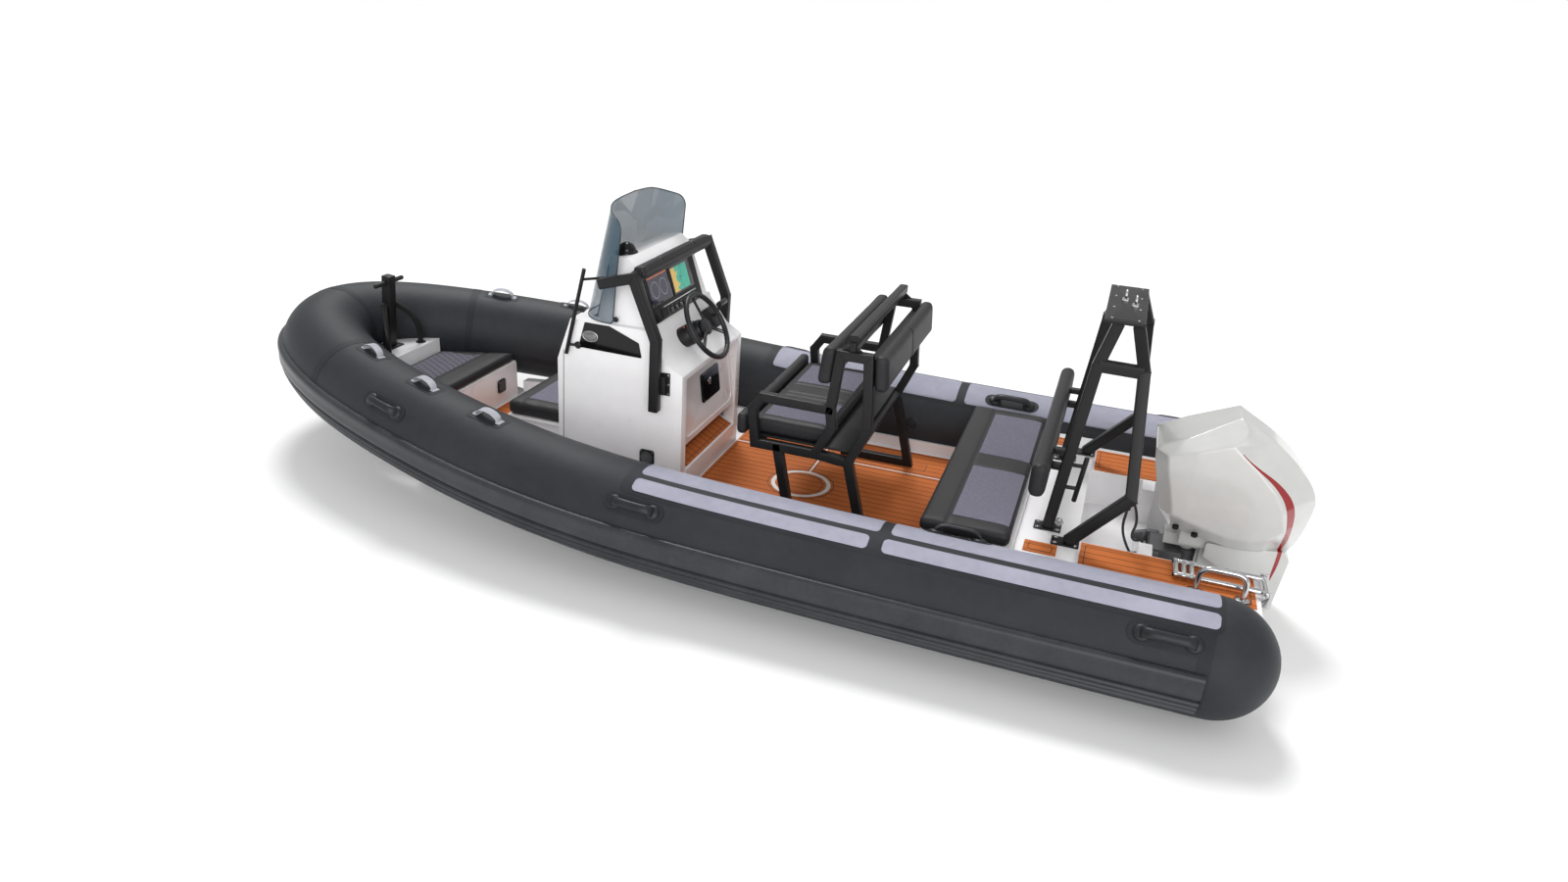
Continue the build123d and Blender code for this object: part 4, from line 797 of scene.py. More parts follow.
makePiece("collarSkin", [collarSkin()], collarCoat, sharp=0, hides=("port_tube", "starboard_tube", "bow_tube"))
tapes = []
for x in collar["tapeAt"]:
    tapes += [collarBand(run, collar["tapeWidth"], collar["tapeLift"]) for run in bothRuns(x)]
tapes.append(collarBand(collarLength / 2, collar["tapeWidth"], collar["tapeLift"]))
for lower in collar["seamAngles"]:
    tapes += bothSides(collarPatch, *collar["seamSpan"], lower, lower + collar["seamWide"], collar["seamLift"], 0.01)
tapes += bothSides(collarPatch, *collar["walkSpan"], *collar["walkAngles"], collar["walkLift"], 0.04)
makePiece("collarTapes", tapes, collarTape, slotName="collar_fabric", sharp=50)

stepStrips = {"inner": (-0.709, 0.165), "outer": (0.294, 0.596), "lift": 0.0026, "corner": 0.022,
              "innerRuns": ((1.115, 2.245), (-0.233, 1.066)), "outerRuns": ((1.143, 2.245), (-0.233, 1.081))}
strips = []
for band, runs in (("inner", "innerRuns"), ("outer", "outerRuns")):
    for x0, x1 in stepStrips[runs]:
        strips += bothSides(collarPatch, x0, x1, *stepStrips[band], stepStrips["lift"], stepStrips["corner"])
makePiece("stepStrips", strips, stepPad, sharp=50)

# rubbing strake: a flat band, a groove and three ribs, carried round the whole collar
strake = {"start": -0.215, "band": (76.0, 99.0), "ribs": (102.5, 121.5), "ribCount": 3, "proud": 0.0255,
          "rowStep": 0.03, "valley": 0.009, "ribHeight": 0.0165, "groove": 0.008}


def strakeShell():
    # height over the tube against the angle from its top
    low, high = strake["band"]
    first, last = strake["ribs"]
    ribAngle = np.linspace(first, last, 31)
    ribWave = np.abs(np.sin((ribAngle - first) / (last - first) * math.pi * strake["ribCount"])) ** 0.7
    ribRise = strake["valley"] + strake["ribHeight"] * ribWave
    bandRise = strake["proud"] - 0.004 * np.sin(np.linspace(0, math.pi, 8)) ** 2
    angle = np.r_[low - 0.6, low + 0.4, low + 2, low + 4, np.linspace(low + 6, high - 2, 8), high - 0.8, high,
                  high + 1.2, high + 2.2, ribAngle, last + 0.6]
    rise = np.r_[-0.002, 0.012, 0.021, 0.0248, bandRise, 0.0245, 0.019, strake["groove"], strake["groove"], ribRise,
                 -0.002]
    run = np.arange(*bothRuns(strake["start"]), strake["rowStep"])[:, None]
    rows = alongCollar(run, np.radians(angle)[None], rise[None] + 0 * run)
    return outward(gridShell(rows, startCap=True, endCap=True))


makePiece("rubbingStrake", [strakeShell()], strakeRubber, hides=("rub_strakes",))
print("collar")

# fittings on the collar, drawn flat as x along the tube, y round it and z out from it, then laid on the tube
fittings = {
    "handles": ((2.2, 52), (-0.06, 52), (3.66, 52), (0.805, -26)),
    "handleReach": 0.108, "handleHeight": 0.037, "bossAt": 0.094, "bossRadius": 0.036, "bossHeight": 0.017,
    "straps": ((4.04, -5), (3.58, 1), (3.12, 5)), "strapWidth": 0.036, "strapReach": 0.070, "strapHeight": 0.040,
    "strapFoot": 0.074, "valves": (1.33, 3.15), "valveAngle": -80,
    # half length along the tube, half width in radians, thickness and corner of the patch under each
    "handlePatch": (0.15, 0.18, 0.0042, 0.044), "strapPatch": (0.11, 0.2, 0.0012, 0.02),
}


def laid(shell, run, angle):
    # a flat drawing laid on the tube; a closed shape has its faces turned out again
    p = shell[0]
    onTube = alongCollar(run + p[:, 0], angle + p[:, 1] / collar["radius"], p[:, 2]), shell[1], shell[2]
    return outward(onTube) if signedVolume(shell) > 1e-9 else onTube


def patchUnder(kind, run, angle):
    reach, half, lift, corner = fittings[kind]
    return collarPatch(run - reach, run + reach, angle - half, angle + half, lift, corner)


def handleShell():
    # a bow-shaped grip: centre height falls as 1 - |u|^5 to both feet, and the section widens there
    u = np.linspace(-1, 1, 41)[:, None]
    ring = turns(24)[None]
    height = 0.003 + fittings["handleHeight"] * (1 - np.abs(u) ** 5)
    halfWidth = 0.0165 + 0.009 * np.abs(u) ** 4
    halfThick = 0.0105 + 0.003 * np.abs(u) ** 4
    squeeze = np.sqrt(np.maximum(1 - np.abs(u) ** 24, 0)) * 0.98 + 0.02
    rows = np.stack((fittings["handleReach"] * u + 0 * ring, halfWidth * squeeze * np.cos(ring),
                     height + halfThick * squeeze * np.sin(ring)), axis=-1)
    return outward(gridShell(rows, startCap=True, endCap=True))


def domed(x, radius, height):
    # low round boss under a handle's foot
    a = np.linspace(0, math.pi / 2, 8)
    return turned(np.stack((radius * np.cos(a) ** 0.6, height * np.sin(a)), axis=1), (x, 0, 0), (0, 0, 1), 24)


handleParts, patchParts, strapParts, valveParts = [], [], [], []
bosses = [domed(end * fittings["bossAt"], fittings["bossRadius"], fittings["bossHeight"]) for end in (-1, 1)]
for x, degrees in fittings["handles"]:
    for run in bothRuns(x):
        angle = math.radians(degrees)
        handleParts += [laid(part, run, angle) for part in [handleShell()] + bosses]
        patchParts.append(patchUnder("handlePatch", run, angle))
for x, degrees in fittings["straps"]:
    for run in bothRuns(x):
        angle = math.radians(degrees)
        y = np.linspace(-1, 1, 33)[:, None] * fittings["strapReach"]
        rise = 0.002 + fittings["strapHeight"] * np.sqrt(np.maximum(1 - (y / fittings["strapReach"]) ** 2, 0))
        half = fittings["strapWidth"] / 2
        section = np.array([(-half, -0.001), (half, -0.001), (half + 0.0005, 0.0008), (half, 0.002), (-half, 0.002),
                            (-half - 0.0005, 0.0008)])
        rows = np.stack((y + 0 * section[None, :, 0], section[None, :, 0] + 0 * y, rise + section[None, :, 1]),
                        axis=-1)
        strapParts.append(laid(outward(gridShell(rows, startCap=True, endCap=True)), run, angle))
        for end in (-1, 1):
            pad = plate(rectangle(0.03, 0.042, end * fittings["strapFoot"], 0), 0.0035, 0.006, 0.001)
            strapParts.append(laid(pad, run, angle))
        patchParts.append(patchUnder("strapPatch", run, angle))
for x in fittings["valves"]:
    for run in bothRuns(x):
        profile = [(0.032, -0.004), (0.032, 0.003), (0.029, 0.0052), (0.0245, 0.0055), (0.023, 0.003), (0.0175, 0.003),
                   (0.016, 0.0055), (0.004, 0.0058), (0, 0.0058)]
        lid = turned(profile, (0, 0, 0), (0, 0, 1), 36)
        lugs = [moved(plate(rectangle(0.007, 0.03), 0.003, 0.002, 0.0008), (0, 0, 0.0045),
                      (math.cos(k), math.sin(k), 0), (-math.sin(k), math.cos(k), 0), (0, 0, 1))
                for k in (0.4, 0.4 + math.pi / 2)]
        valveParts += [laid(part, run, math.radians(fittings["valveAngle"])) for part in [lid] + lugs]
makePiece("grabHandles", handleParts, mouldedRubber, hides=("tube_handles",))
makePiece("handlePatches", patchParts, collarTape, sharp=50)
makePiece("strapLoops", strapParts, greyWebbing, hides=("strap_loops",))
makePiece("inflationValves", valveParts, mouldedRubber, hides=("inflation_valves",))
print("fittings on the collar")


# mouldings of hull, deck and lockers
def coat(material, *nodes):
    # a material on the CAD pieces that stay
    for node in nodes:
        for place in frame["nodes"][node].material_slots:
            place.material = material


def faceAxes(low, high, y, z):
    # axes of a leaning face whose side outline runs low to high: starboard, up the face, out of it towards the stern
    along = unit((high[0] - low[0], 0, high[1] - low[1]))
    origin = (low[0] + (z - low[1]) * along[0] / along[2], y, z)
    return np.array(origin), np.array((0.0, -1.0, 0.0)), along, np.array((-along[2], 0.0, along[0]))


def onFace(shell, axes, x=0.0, y=0.0, lift=0.0):
    # a flat drawing laid on a leaning face
    origin, across, along, out = axes
    return moved(shell, origin + x * across + y * along + lift * out, across, along, out)


coat(hullGelcoat, "hull")
coat(gelcoat, "deck_liner")
# piece, node, material, width of the rounding
mouldings = (
    ("consoleMoulding", "console", gelcoat, 0.009), ("aftDeckMoulding", "aft_deck", gelcoat, 0.008),
    ("benchBoxMoulding", "bench_box", gelcoat, 0.006), ("bowLockerMoulding", "bow_locker", gelcoat, 0.008),
    ("frontSeatBoxMoulding", "front_seat_box", gelcoat, 0.006), ("benchLid", "bench_lid", gelcoat, 0.003),
    ("bowLockerLid", "bow_locker_lid", gelcoat, 0.003), ("frontSeatLid", "front_seat_lid", gelcoat, 0.003),
    ("helmSeatPan", "helm_seat_pan", blackCoat, 0.003), ("transomBracket", "outboard_bracket", castMetal, 0.004),
    ("swivelCasting", "outboard_swivel", castMetal, 0.005), ("engineBlock", "outboard_engine", castMetal, 0.004),
    ("ladderBracketPlates", "ladder_bracket", stainless, 0.002),
)
for moulding in mouldings:
    eased(*moulding)
print("mouldings")

# foam pads: a dark line inside each edge, pale seams and a plain ring
pads = {"lineInset": 0.02, "lineWidth": 0.0035, "lift": 0.0004, "floor": 0.15,
        "sideSeam": 0.39, "crossSeam": 1.76, "seamWidth": 0.009, "ringAt": (1.76, 0.0), "ringRadius": 0.15,
        "ringWidth": 0.022, "ringLines": (0.118, 0.178), "lineBeside": 0.013,
        # ends of the side and cross seams, and of the dark lines beside them
        "sideSpan": (1.012, 2.278), "crossSpan": (-0.16, -0.688),
        "sideLines": (1.03, 2.26), "crossLines": (-0.19, -0.67)}


def topLoops(node, least=0.5):
    # ordered boundaries of the upper faces
    work = bmesh.new()
    work.from_mesh(frame["nodes"][node].data)
    bmesh.ops.remove_doubles(work, verts=work.verts, dist=1e-5)
    work.normal_update()
    following = {}
    for edge in work.edges:
        upper = [f for f in edge.link_faces if f.normal.z > least]
        if len(upper) == 1:
            loop = next(l for l in upper[0].loops if l.edge == edge)
            following[loop.vert.index] = loop.link_loop_next.vert.index
    places = {v.index: tuple(v.co) for v in work.verts}
    work.free()
    loops = []
    while following:
        first, here = following.popitem()
        chain = [first]
        while here != first:
            chain.append(here)
            here = following.pop(here)
        loops.append(np.array([places[k] for k in chain]))
    return loops


def insetLoop(points, inset):
    # corners move to where the lines inside their two sides meet
    p = np.asarray(points)
    keep = np.linalg.norm(p - np.roll(p, 1, axis=0), axis=1) > 1e-4
    p = p[keep]
    before, after = unit(p - np.roll(p, 1, axis=0)), unit(np.roll(p, -1, axis=0) - p)
    p = p[np.linalg.norm(np.cross(before, after), axis=1) > 0.02]
    before, after = unit(p - np.roll(p, 1, axis=0)), unit(np.roll(p, -1, axis=0) - p)
    normal = unit(np.cross(p[1] - p[0], p.mean(axis=0) - p[0]))
    normal = normal if normal[2] > 0 else -normal
    inward = np.cross(normal, unit(before + after))
    stretch = np.maximum(np.sqrt(np.maximum((1 + (before * after).sum(axis=1)) / 2, 0)), 0.35)
    return p + inward * (inset / stretch)[:, None], normal


def lineProfile(width, lift):
    return [(-0.0004, -width / 2), (lift, -width / 2), (lift, width / 2), (-0.0004, width / 2)]


def lineAlong(points, width, lift, normal, corner=0.0):
    # a closed line that stands lift proud of a face
    path = roundedOutline(points, corner, 7) if corner else np.asarray(points)
    return carried(path, lineProfile(width, lift), side=normal, closed=True)


def straightLine(start, end, width, lift, normal=(0, 0, 1)):
    return carried(np.linspace(start, end, 3), lineProfile(width, lift), side=normal)


def floorLine(along, fixed, span, width, lift):
    # a line on the cockpit floor, along x or y
    start, end = ((v, fixed, pads["floor"]) if along == "x" else (fixed, v, pads["floor"]) for v in span)
    return straightLine(start, end, width, lift)


coat(deckFoam, "deck_coverings")
darkLines = []
for loop in topLoops("deck_coverings"):
    line, normal = insetLoop(loop, pads["lineInset"])
    darkLines.append(lineAlong(line, pads["lineWidth"], pads["lift"], normal, 0.012))
paleSeams = [floorLine("x", -pads["sideSeam"], pads["sideSpan"], pads["seamWidth"], 0.0006),
             floorLine("y", pads["crossSeam"], pads["crossSpan"], pads["seamWidth"], 0.0007)]
for offset in (-pads["lineBeside"], pads["lineBeside"]):
    darkLines.append(floorLine("x", offset - pads["sideSeam"], pads["sideLines"], 0.003, pads["lift"]))
    darkLines.append(floorLine("y", offset + pads["crossSeam"], pads["crossLines"], 0.003, pads["lift"]))
turn = turns(72)[:, None]
circle = np.hstack((np.cos(turn), np.sin(turn), 0 * turn))
ringCentre = np.array((*pads["ringAt"], pads["floor"]))
up = (0, 0, 1)
paleSeams.append(lineAlong(ringCentre + circle * pads["ringRadius"], pads["ringWidth"], 0.0008, up))
for radius in pads["ringLines"]:
    darkLines.append(lineAlong(ringCentre + circle * radius, 0.004, 0.0005, up))
makePiece("deckBorderLines", darkLines, deckLine, sharp=60)
makePiece("deckPaleSeams", paleSeams, deckSeam, sharp=60)
print("deck pads")

# console fittings
console = {
    "dashLow": (2.488, 0.985), "dashHigh": (2.592, 1.300), "dashMiddle": 1.140, "panelLow": (2.303, 0.400),
    "panelHigh": (2.350, 0.770), "hatch": (-0.038, 0.618), "halfWidth": 0.410,
    "displayAt": ((-0.192, 0.028), (0.080, 0.028)), "screen": (0.224, 0.136), "switchAt": (0.020, -0.104),
    "wheelAt": (2.293, 0.110, 0.986), "wheelTilt": 33, "wheelRadius": 0.172, "compassAt": (2.700, 0.215, 1.331),
    "lens": (2.806, 0.935), "speaker": (2.485, 0.327), "bowSpeaker": (3.7995, 0.248, 0.267), "screwAt": 0.033,
}
dashAxes = faceAxes(console["dashLow"], console["dashHigh"], 0.0, console["dashMiddle"])
hatchAxes = faceAxes(console["panelLow"], console["panelHigh"], *console["hatch"])
panelAxes = faceAxes(console["panelLow"], console["panelHigh"], 0.0, 0.588)


def highest(node, axes):
    # how far a node reaches out of a face
    points = np.array([v.co for v in frame["nodes"][node].data.vertices])
    return float(((points - axes[0]) @ axes[3]).max())


eased("dashPanel", "dash_panel", blackCoat, 0.003)
eased("displayCases", "displays", glossBlack, 0.004)
screenLift = highest("displays", dashAxes)
dashLift = highest("dash_panel", dashAxes) - 0.006
hatchLift = highest("glovebox_door", hatchAxes)
silver = [onFace(plate(rectangle(0.47, 0.006), 0.003, 0.002, 0.0008), dashAxes, -0.02, 0.122, dashLift - 0.0002),
          onFace(plate(rectangle(0.41, 0.007), 0.004, 0.003, 0.001), dashAxes, 0.02, -0.074, dashLift - 0.0002)]
switchX, switchY = console["switchAt"]
switchLift = dashLift + 0.0058
silver += [onFace(plate(rectangle(0.0012, 0.04), 0.0008, 0.0004, 0.0002), dashAxes, switchX + x, switchY, switchLift)
           for x in np.linspace(-0.165, 0.165, 7)]
makePiece("dashTrimStrips", silver, brightTrim)
rockers, rockerMarks = [], []
for x in np.linspace(-0.138, 0.138, 6):
    rockers.append(onFace(plate(rectangle(0.03, 0.024), 0.005, 0.004, 0.0018, steps=8), dashAxes, switchX + x, switchY,
                          switchLift))
    rockerMarks.append(onFace(plate(rectangle(0.008, 0.003), 0.0006, 0.001, 0.0002), dashAxes, switchX + x,
                              switchY + 0.006, switchLift + 0.0048))
rockers.append(onFace(turned([(0.013, 0), (0.013, 0.008), (0.011, 0.010), (0, 0.010)]), dashAxes, 0.205, switchY,
                      switchLift))
makePiece("dashRockers", rockers, glossBlack)
makePiece("dashRockerMarks", rockerMarks, brightTrim, slotName="black_plastic")


def screenPiece(name, place, material):
    # a flat screen with its own coordinates, 0 to 1 each way
    width, height = console["screen"]
    u, v = np.meshgrid(np.linspace(0, 1, 9), np.linspace(0, 1, 7))
    flat = np.stack(((u - 0.5) * width, (v - 0.5) * height, 0 * u), axis=-1)
    shell = onFace(gridShell(flat, ringClosed=False), dashAxes, *place, screenLift + 0.0004)
    piece = makePiece(name, [flipped(shell)], material, slotName="black_plastic", sharp=0)
    mesh = piece.data
    co = meshVectors(mesh.vertices, "co") - (dashAxes[0] + place[0] * dashAxes[1] + place[1] * dashAxes[2])
    flat = np.stack((co @ dashAxes[1] / width + 0.5, co @ dashAxes[2] / height + 0.5), axis=1)
    corner = np.empty(len(mesh.loops), dtype=np.int32)
    mesh.loops.foreach_get("vertex_index", corner)
    mesh.uv_layers.new(name="screenUV").data.foreach_set("uv", flat[corner].ravel())
    return piece


def screenFinish(name, dark, light):
    # a lit screen, its node tree, and x and y across it from 0 to 1
    material = finish(name, dark, light, 0.16, 0.04, 4.0, None, source="UV", Coat_Weight=0.8, Emission_Strength=0.35)
    tree = material.node_tree
    place = tree.nodes.new("ShaderNodeTexCoord").outputs["UV"]
    return material, tree, place, *splitVector(tree, place)[:2]


# a made-up coast with one depth line, under a plain frame
chartScreen, chartTree, chartPlace, chartX, chartY = screenFinish("chartScreen", (28, 158, 132),
                                                                  (44, 178, 150))
coast = texture(chartTree, "Noise", chartPlace, 3.2, Detail=5.0)
shore = calc(chartTree, "SUBTRACT", calc(chartTree, "MULTIPLY_ADD", coast.outputs["Fac"], 0.7, -0.08), chartX)
overColour(chartScreen, calc(chartTree, "GREATER_THAN", shore, 0.0), shade(214, 176, 84))
depthLine = calc(chartTree, "LESS_THAN", calc(chartTree, "ABSOLUTE", calc(chartTree, "ADD", shore, 0.22)), 0.008)
overColour(chartScreen, depthLine, shade(22, 92, 96))
overColour(chartScreen, calc(chartTree, "GREATER_THAN", chartX, 0.86), shade(26, 28, 34))
overColour(chartScreen, calc(chartTree, "GREATER_THAN", chartY, 0.93), shade(26, 28, 34))

# two dials of plain ticks under an orange bar
gaugeScreen, gaugeTree, gaugePlace, gaugeX, gaugeY = screenFinish("gaugeScreen", (30, 28, 44),
                                                                  (44, 40, 60))
for centre in (0.28, 0.72):
    sideways = calc(gaugeTree, "MULTIPLY", calc(gaugeTree, "SUBTRACT", gaugeX, centre), 1.65)
    upwards = calc(gaugeTree, "SUBTRACT", gaugeY, 0.48)
    reachSquared = calc(gaugeTree, "ADD", calc(gaugeTree, "MULTIPLY", sideways, sideways),
                        calc(gaugeTree, "MULTIPLY", upwards, upwards))
    offRing = calc(gaugeTree, "ABSOLUTE", calc(gaugeTree, "SUBTRACT", reachSquared, 0.09))
    ringMask = calc(gaugeTree, "LESS_THAN", offRing, 0.012)
    angle = calc(gaugeTree, "ARCTAN2", upwards, sideways)
    ticks = calc(gaugeTree, "GREATER_THAN", calc(gaugeTree, "SINE", calc(gaugeTree, "MULTIPLY", angle, 24.0)), 0.2)
    overColour(gaugeScreen, calc(gaugeTree, "MULTIPLY", ringMask, ticks), shade(150, 150, 172))
overColour(gaugeScreen, calc(gaugeTree, "GREATER_THAN", gaugeY, 0.95), shade(206, 104, 52))
for material in (chartScreen, gaugeScreen):
    shader = material.node_tree.nodes["Principled BSDF"]
    material.node_tree.links.new(shader.inputs["Base Color"].links[0].from_socket, shader.inputs["Emission Color"])
screenPiece("gaugeDisplay", console["displayAt"][0], gaugeScreen)
screenPiece("chartDisplay", console["displayAt"][1], chartScreen)

# hatch with its latch, and the moulded lip of the panel round it
eased("hatchDoor", "glovebox_door", glossBlack, 0.004)
latch = [onFace(turned([(0.019, 0), (0.019, 0.003), (0.016, 0.005), (0.009, 0.0052), (0.007, 0.003), (0, 0.003)]),
                hatchAxes, -0.02, 0.02, hatchLift - 0.0005),
         onFace(plate(rectangle(0.008, 0.024), 0.006, 0.003, 0.0015), hatchAxes, -0.02, 0.02, hatchLift + 0.002)]
makePiece("hatchLatch", latch, stainless, body="glovebox_flap")
lipOutline = roundedOutline(rectangle(0.652, 0.318), 0.05, 10)
lipPath = panelAxes[0] + lipOutline[:, :1] * panelAxes[1] + lipOutline[:, 1:] * panelAxes[2] + 0.001 * panelAxes[3]
makePiece("panelLip", [carried(lipPath, ringProfile(0.0035, 8), side=panelAxes[3], closed=True)], gelcoat)

# helm boss and wheel
lean = math.radians(console["wheelTilt"])
wheelNormal = np.array((-math.cos(lean), 0, math.sin(lean)))
wheelUp = np.array((math.sin(lean), 0, math.cos(lean)))
wheelSide = np.array((0.0, -1.0, 0.0))
wheelAt = np.array(console["wheelAt"])


def onWheel(shell, lift=0.0, spin=0.0):
    # a drawing in the wheel's plane, turned by spin
    across = math.cos(spin) * wheelSide + math.sin(spin) * wheelUp
    upward = -math.sin(spin) * wheelSide + math.cos(spin) * wheelUp
    return moved(shell, wheelAt + lift * wheelNormal, across, upward, wheelNormal)


bossProfile = [(0.0, -0.024), (0.030, -0.024), (0.044, -0.027), (0.050, -0.036), (0.050, -0.058), (0.0535, -0.060),
               (0.056, -0.066), (0.056, -0.090), (0.0545, -0.092), (0.0545, -0.096), (0.056, -0.098), (0.056, -0.165),
               (0.0, -0.165)]
makePiece("helmBoss", [turned(bossProfile, wheelAt, wheelNormal, 48)], blackPlastic, hides=("helm_boss",))
makePiece("helmBossMark", [onWheel(moved(plate(rectangle(0.016, 0.007), 0.001, 0.001, 0.0003), (0, 0.0553, 0),
                                         (1, 0, 0), (0, 0, 1), (0, 1, 0)), -0.11, 0.5)], orangeMark)
rimTurn, rimRing = turns(144)[:, None], turns(20)[None]
grip = 0.0012 * np.clip(np.sin(rimTurn * 36), 0, 1) * (np.cos(rimRing) < -0.2)
rimReach = 0.0138 - grip
flatRim = np.stack(((console["wheelRadius"] + rimReach * np.cos(rimRing)) * np.cos(rimTurn),
                    (console["wheelRadius"] + rimReach * np.cos(rimRing)) * np.sin(rimTurn),
                    rimReach * np.sin(rimRing) * np.ones_like(rimTurn)), axis=-1)
wheelParts = [onWheel(outward(gridShell(flatRim, pathClosed=True)))]
hubProfile = [(0.0, -0.0218), (0.036, -0.0218), (0.042, -0.018), (0.044, -0.010), (0.044, -0.004), (0.040, 0.001),
              (0.030, 0.0034), (0.028, 0.0026), (0.026, 0.0032), (0.0, 0.0038)]
wheelParts.append(turned(hubProfile, wheelAt, wheelNormal, 48))
spokes = []
for k in range(3):
    spin = math.radians(120 * k)
    for offset in (-0.0075, 0.0075):
        spoke = roundBar((offset * 0.6, 0.03, -0.002), (offset, console["wheelRadius"] - 0.004, 0.0), 0.0042, 0.0008,
                         14)
        spokes.append(onWheel(spoke, 0.0, spin))
    web = plate([(-0.0105, 0.034), (0.0105, 0.034), (0.008, 0.068), (-0.008, 0.068)], 0.0056, 0.003, 0.0015)
    spokes.append(onWheel(web, -0.003, spin))
makePiece("wheelRimAndHub", wheelParts, mouldedRubber, body="steering_wheel", hides=("steering_wheel",))
makePiece("wheelSpokes", spokes, blackCoat, body="steering_wheel")
eased("throttleControl", "throttle", blackPlastic, 0.005)

# compass under its dome
compassPlace = np.array(console["compassAt"])
compassProfile = [(0.0575, -0.024), (0.0575, 0.006), (0.054, 0.012), (0.050, 0.0155), (0.046, 0.0158), (0.0455, 0.024),
                  (0.043, 0.030), (0.038, 0.037), (0.028, 0.047), (0.014, 0.055), (0.0, 0.0578)]
makePiece("compassBowl", [turned(compassProfile, compassPlace, (0, 0, 1), 48)], glossBlack, hides=("compass",))
ribs = [carried(compassPlace + np.array([(0.0445 * math.cos(a) * math.cos(b), 0.0445 * math.cos(a) * math.sin(b),
                                          0.0145 + 0.0425 * math.sin(a)) for a in np.linspace(0.1, 1.25, 12)]),
                ringProfile(0.0013, 8)) for b in (0.5, 2.6, 4.7)]
makePiece("compassRibs", ribs, blackPlastic)

# gloss side panels, lamps and speakers
eased("sideGlossPanels", "gloss_panels", glossBlack, 0.002)
lampParts, bezelParts, speakerParts, coneParts, screwParts, gripParts = [], [], [], [], [], []
angle = turns(48)[:, None]
for side in (1, -1):
    face = console["halfWidth"] + 0.0065
    centre = np.array((console["lens"][0], side * face, console["lens"][1]))
    oval = np.hstack((0.044 * np.cos(angle), 0 * angle, 0.028 * np.sin(angle)))
    rows = [centre + oval * math.cos(r) ** 0.7 * 0.9 + (0, side * (0.001 + 0.0115 * math.sin(r)), 0)
            for r in np.linspace(0, math.pi / 2, 9)]
    lampParts.append(outward(gridShell(rows, startCap=True)))
    bezelParts.append(carried(centre + oval * 0.95, ringProfile(0.0032, 10), side=(0, 1, 0), closed=True))
    speakerX, speakerZ = console["speaker"]
    speakerFaces = [((speakerX, side * (console["halfWidth"] + 0.0005), speakerZ), (0, side, 0)),
                    (np.array(console["bowSpeaker"]) * (1, side, 1), (-1, 0, 0))]
    for place, out in speakerFaces:
        out = np.array(out, float)
        across = np.cross((0, 0, 1), out)
        speakerParts.append(moved(plate(rectangle(0.083, 0.083), 0.009, 0.018, 0.003, steps=10), place, across, up,
                                  out))
        coneParts.append(turned([(0.034, 0.0092), (0.034, 0.0112), (0.031, 0.0116), (0.029, 0.0098), (0.012, 0.0085),
                                 (0.010, 0.0104), (0.006, 0.0112), (0.0, 0.0114)], place, out, 40))
        screwParts += [bolt(np.array(place) + out * 0.0088 + a * across + b * np.array(up), out, 0.0026, 0.0016)
                       for a in (-console["screwAt"], console["screwAt"])
                       for b in (-console["screwAt"], console["screwAt"])]
makePiece("sideLampLenses", lampParts, lensClear, hides=("navigation_lights",))
makePiece("sideLampBezels", bezelParts, stainless)
makePiece("speakerFrames", speakerParts, blackPlastic, hides=("speakers",))
makePiece("speakerCones", coneParts, castMetal, slotName="black_plastic")
makePiece("speakerScrews", screwParts, stainless)

# windscreen with its black feet
screen = {
    "half": 0.396, "front": 2.908, "bend": 0.195, "rake": -0.242, "low": 1.0105, "height": 0.514, "thick": 0.006,
    # half length of the sheet and top edge, against height and against length from the middle
    "lengthHeights": (1.01, 1.486, 1.61), "lengths": (0.530, 0.458, 0.442),
    "topAt": (0, 0.12, 0.20, 0.27, 0.32, 0.36, 0.42, 0.47),
    "topHeights": (1.600, 1.594, 1.585, 1.572, 1.560, 1.548, 1.532, 1.524),
    "topCorner": 0.055, "lowCorner": 0.024,
}


def bentSheet(inset):
    # rows up the sheet, columns along its plan curve; each corner draws the row in by a quarter circle
    height, lowCorner, topCorner = screen["height"], screen["lowCorner"], screen["topCorner"]
    turn = np.linspace(0, math.pi / 2, 14)
    low = lowCorner * (1 - np.cos(turn)) / height
    top = 1 - topCorner * (1 - np.cos(turn[::-1])) / height
    share = np.concatenate((low[:-1], np.linspace(low[-1], top[0], 40), top[1:]))
    column = np.linspace(-1, 1, 150)
    fromLow = np.clip(1 - share * height / lowCorner, 0, 1)
    fromTop = np.clip(1 - (1 - share) * height / topCorner, 0, 1)
    drawnIn = lowCorner * (1 - np.sqrt(1 - fromLow ** 2)) + topCorner * (1 - np.sqrt(1 - fromTop ** 2))
    rough = screen["low"] + share * height
    length = np.interp(rough, screen["lengthHeights"], screen["lengths"]) - drawnIn
    along = column[None, :] * length[:, None]
    away = np.abs(along)
    crown = np.polyval(np.polyfit(screen["topAt"], screen["topHeights"], 4), away)
    z = screen["low"] + share[:, None] * (crown - screen["low"])
    flat = screen["half"] - screen["bend"]
    angle = np.clip((away - flat) / screen["bend"], 0, math.pi / 2)
    radius = screen["bend"] - inset
    pastBend = np.maximum(away - flat - screen["bend"] * math.pi / 2, 0)
    x = screen["front"] - screen["bend"] + radius * np.cos(angle) - pastBend
    y = np.sign(along) * (np.minimum(away, flat) + radius * np.sin(angle))
    return np.stack((x + screen["rake"] * (z - screen["low"]), y, z), axis=-1)


outerSheet, innerSheet = bentSheet(0.0005), bentSheet(screen["thick"] - 0.0005)


def rim(grid):
    # the border of a grid, once round
    return np.concatenate((grid[0], grid[1:, -1], grid[-1, -2::-1], grid[-2:0:-1, 0]))


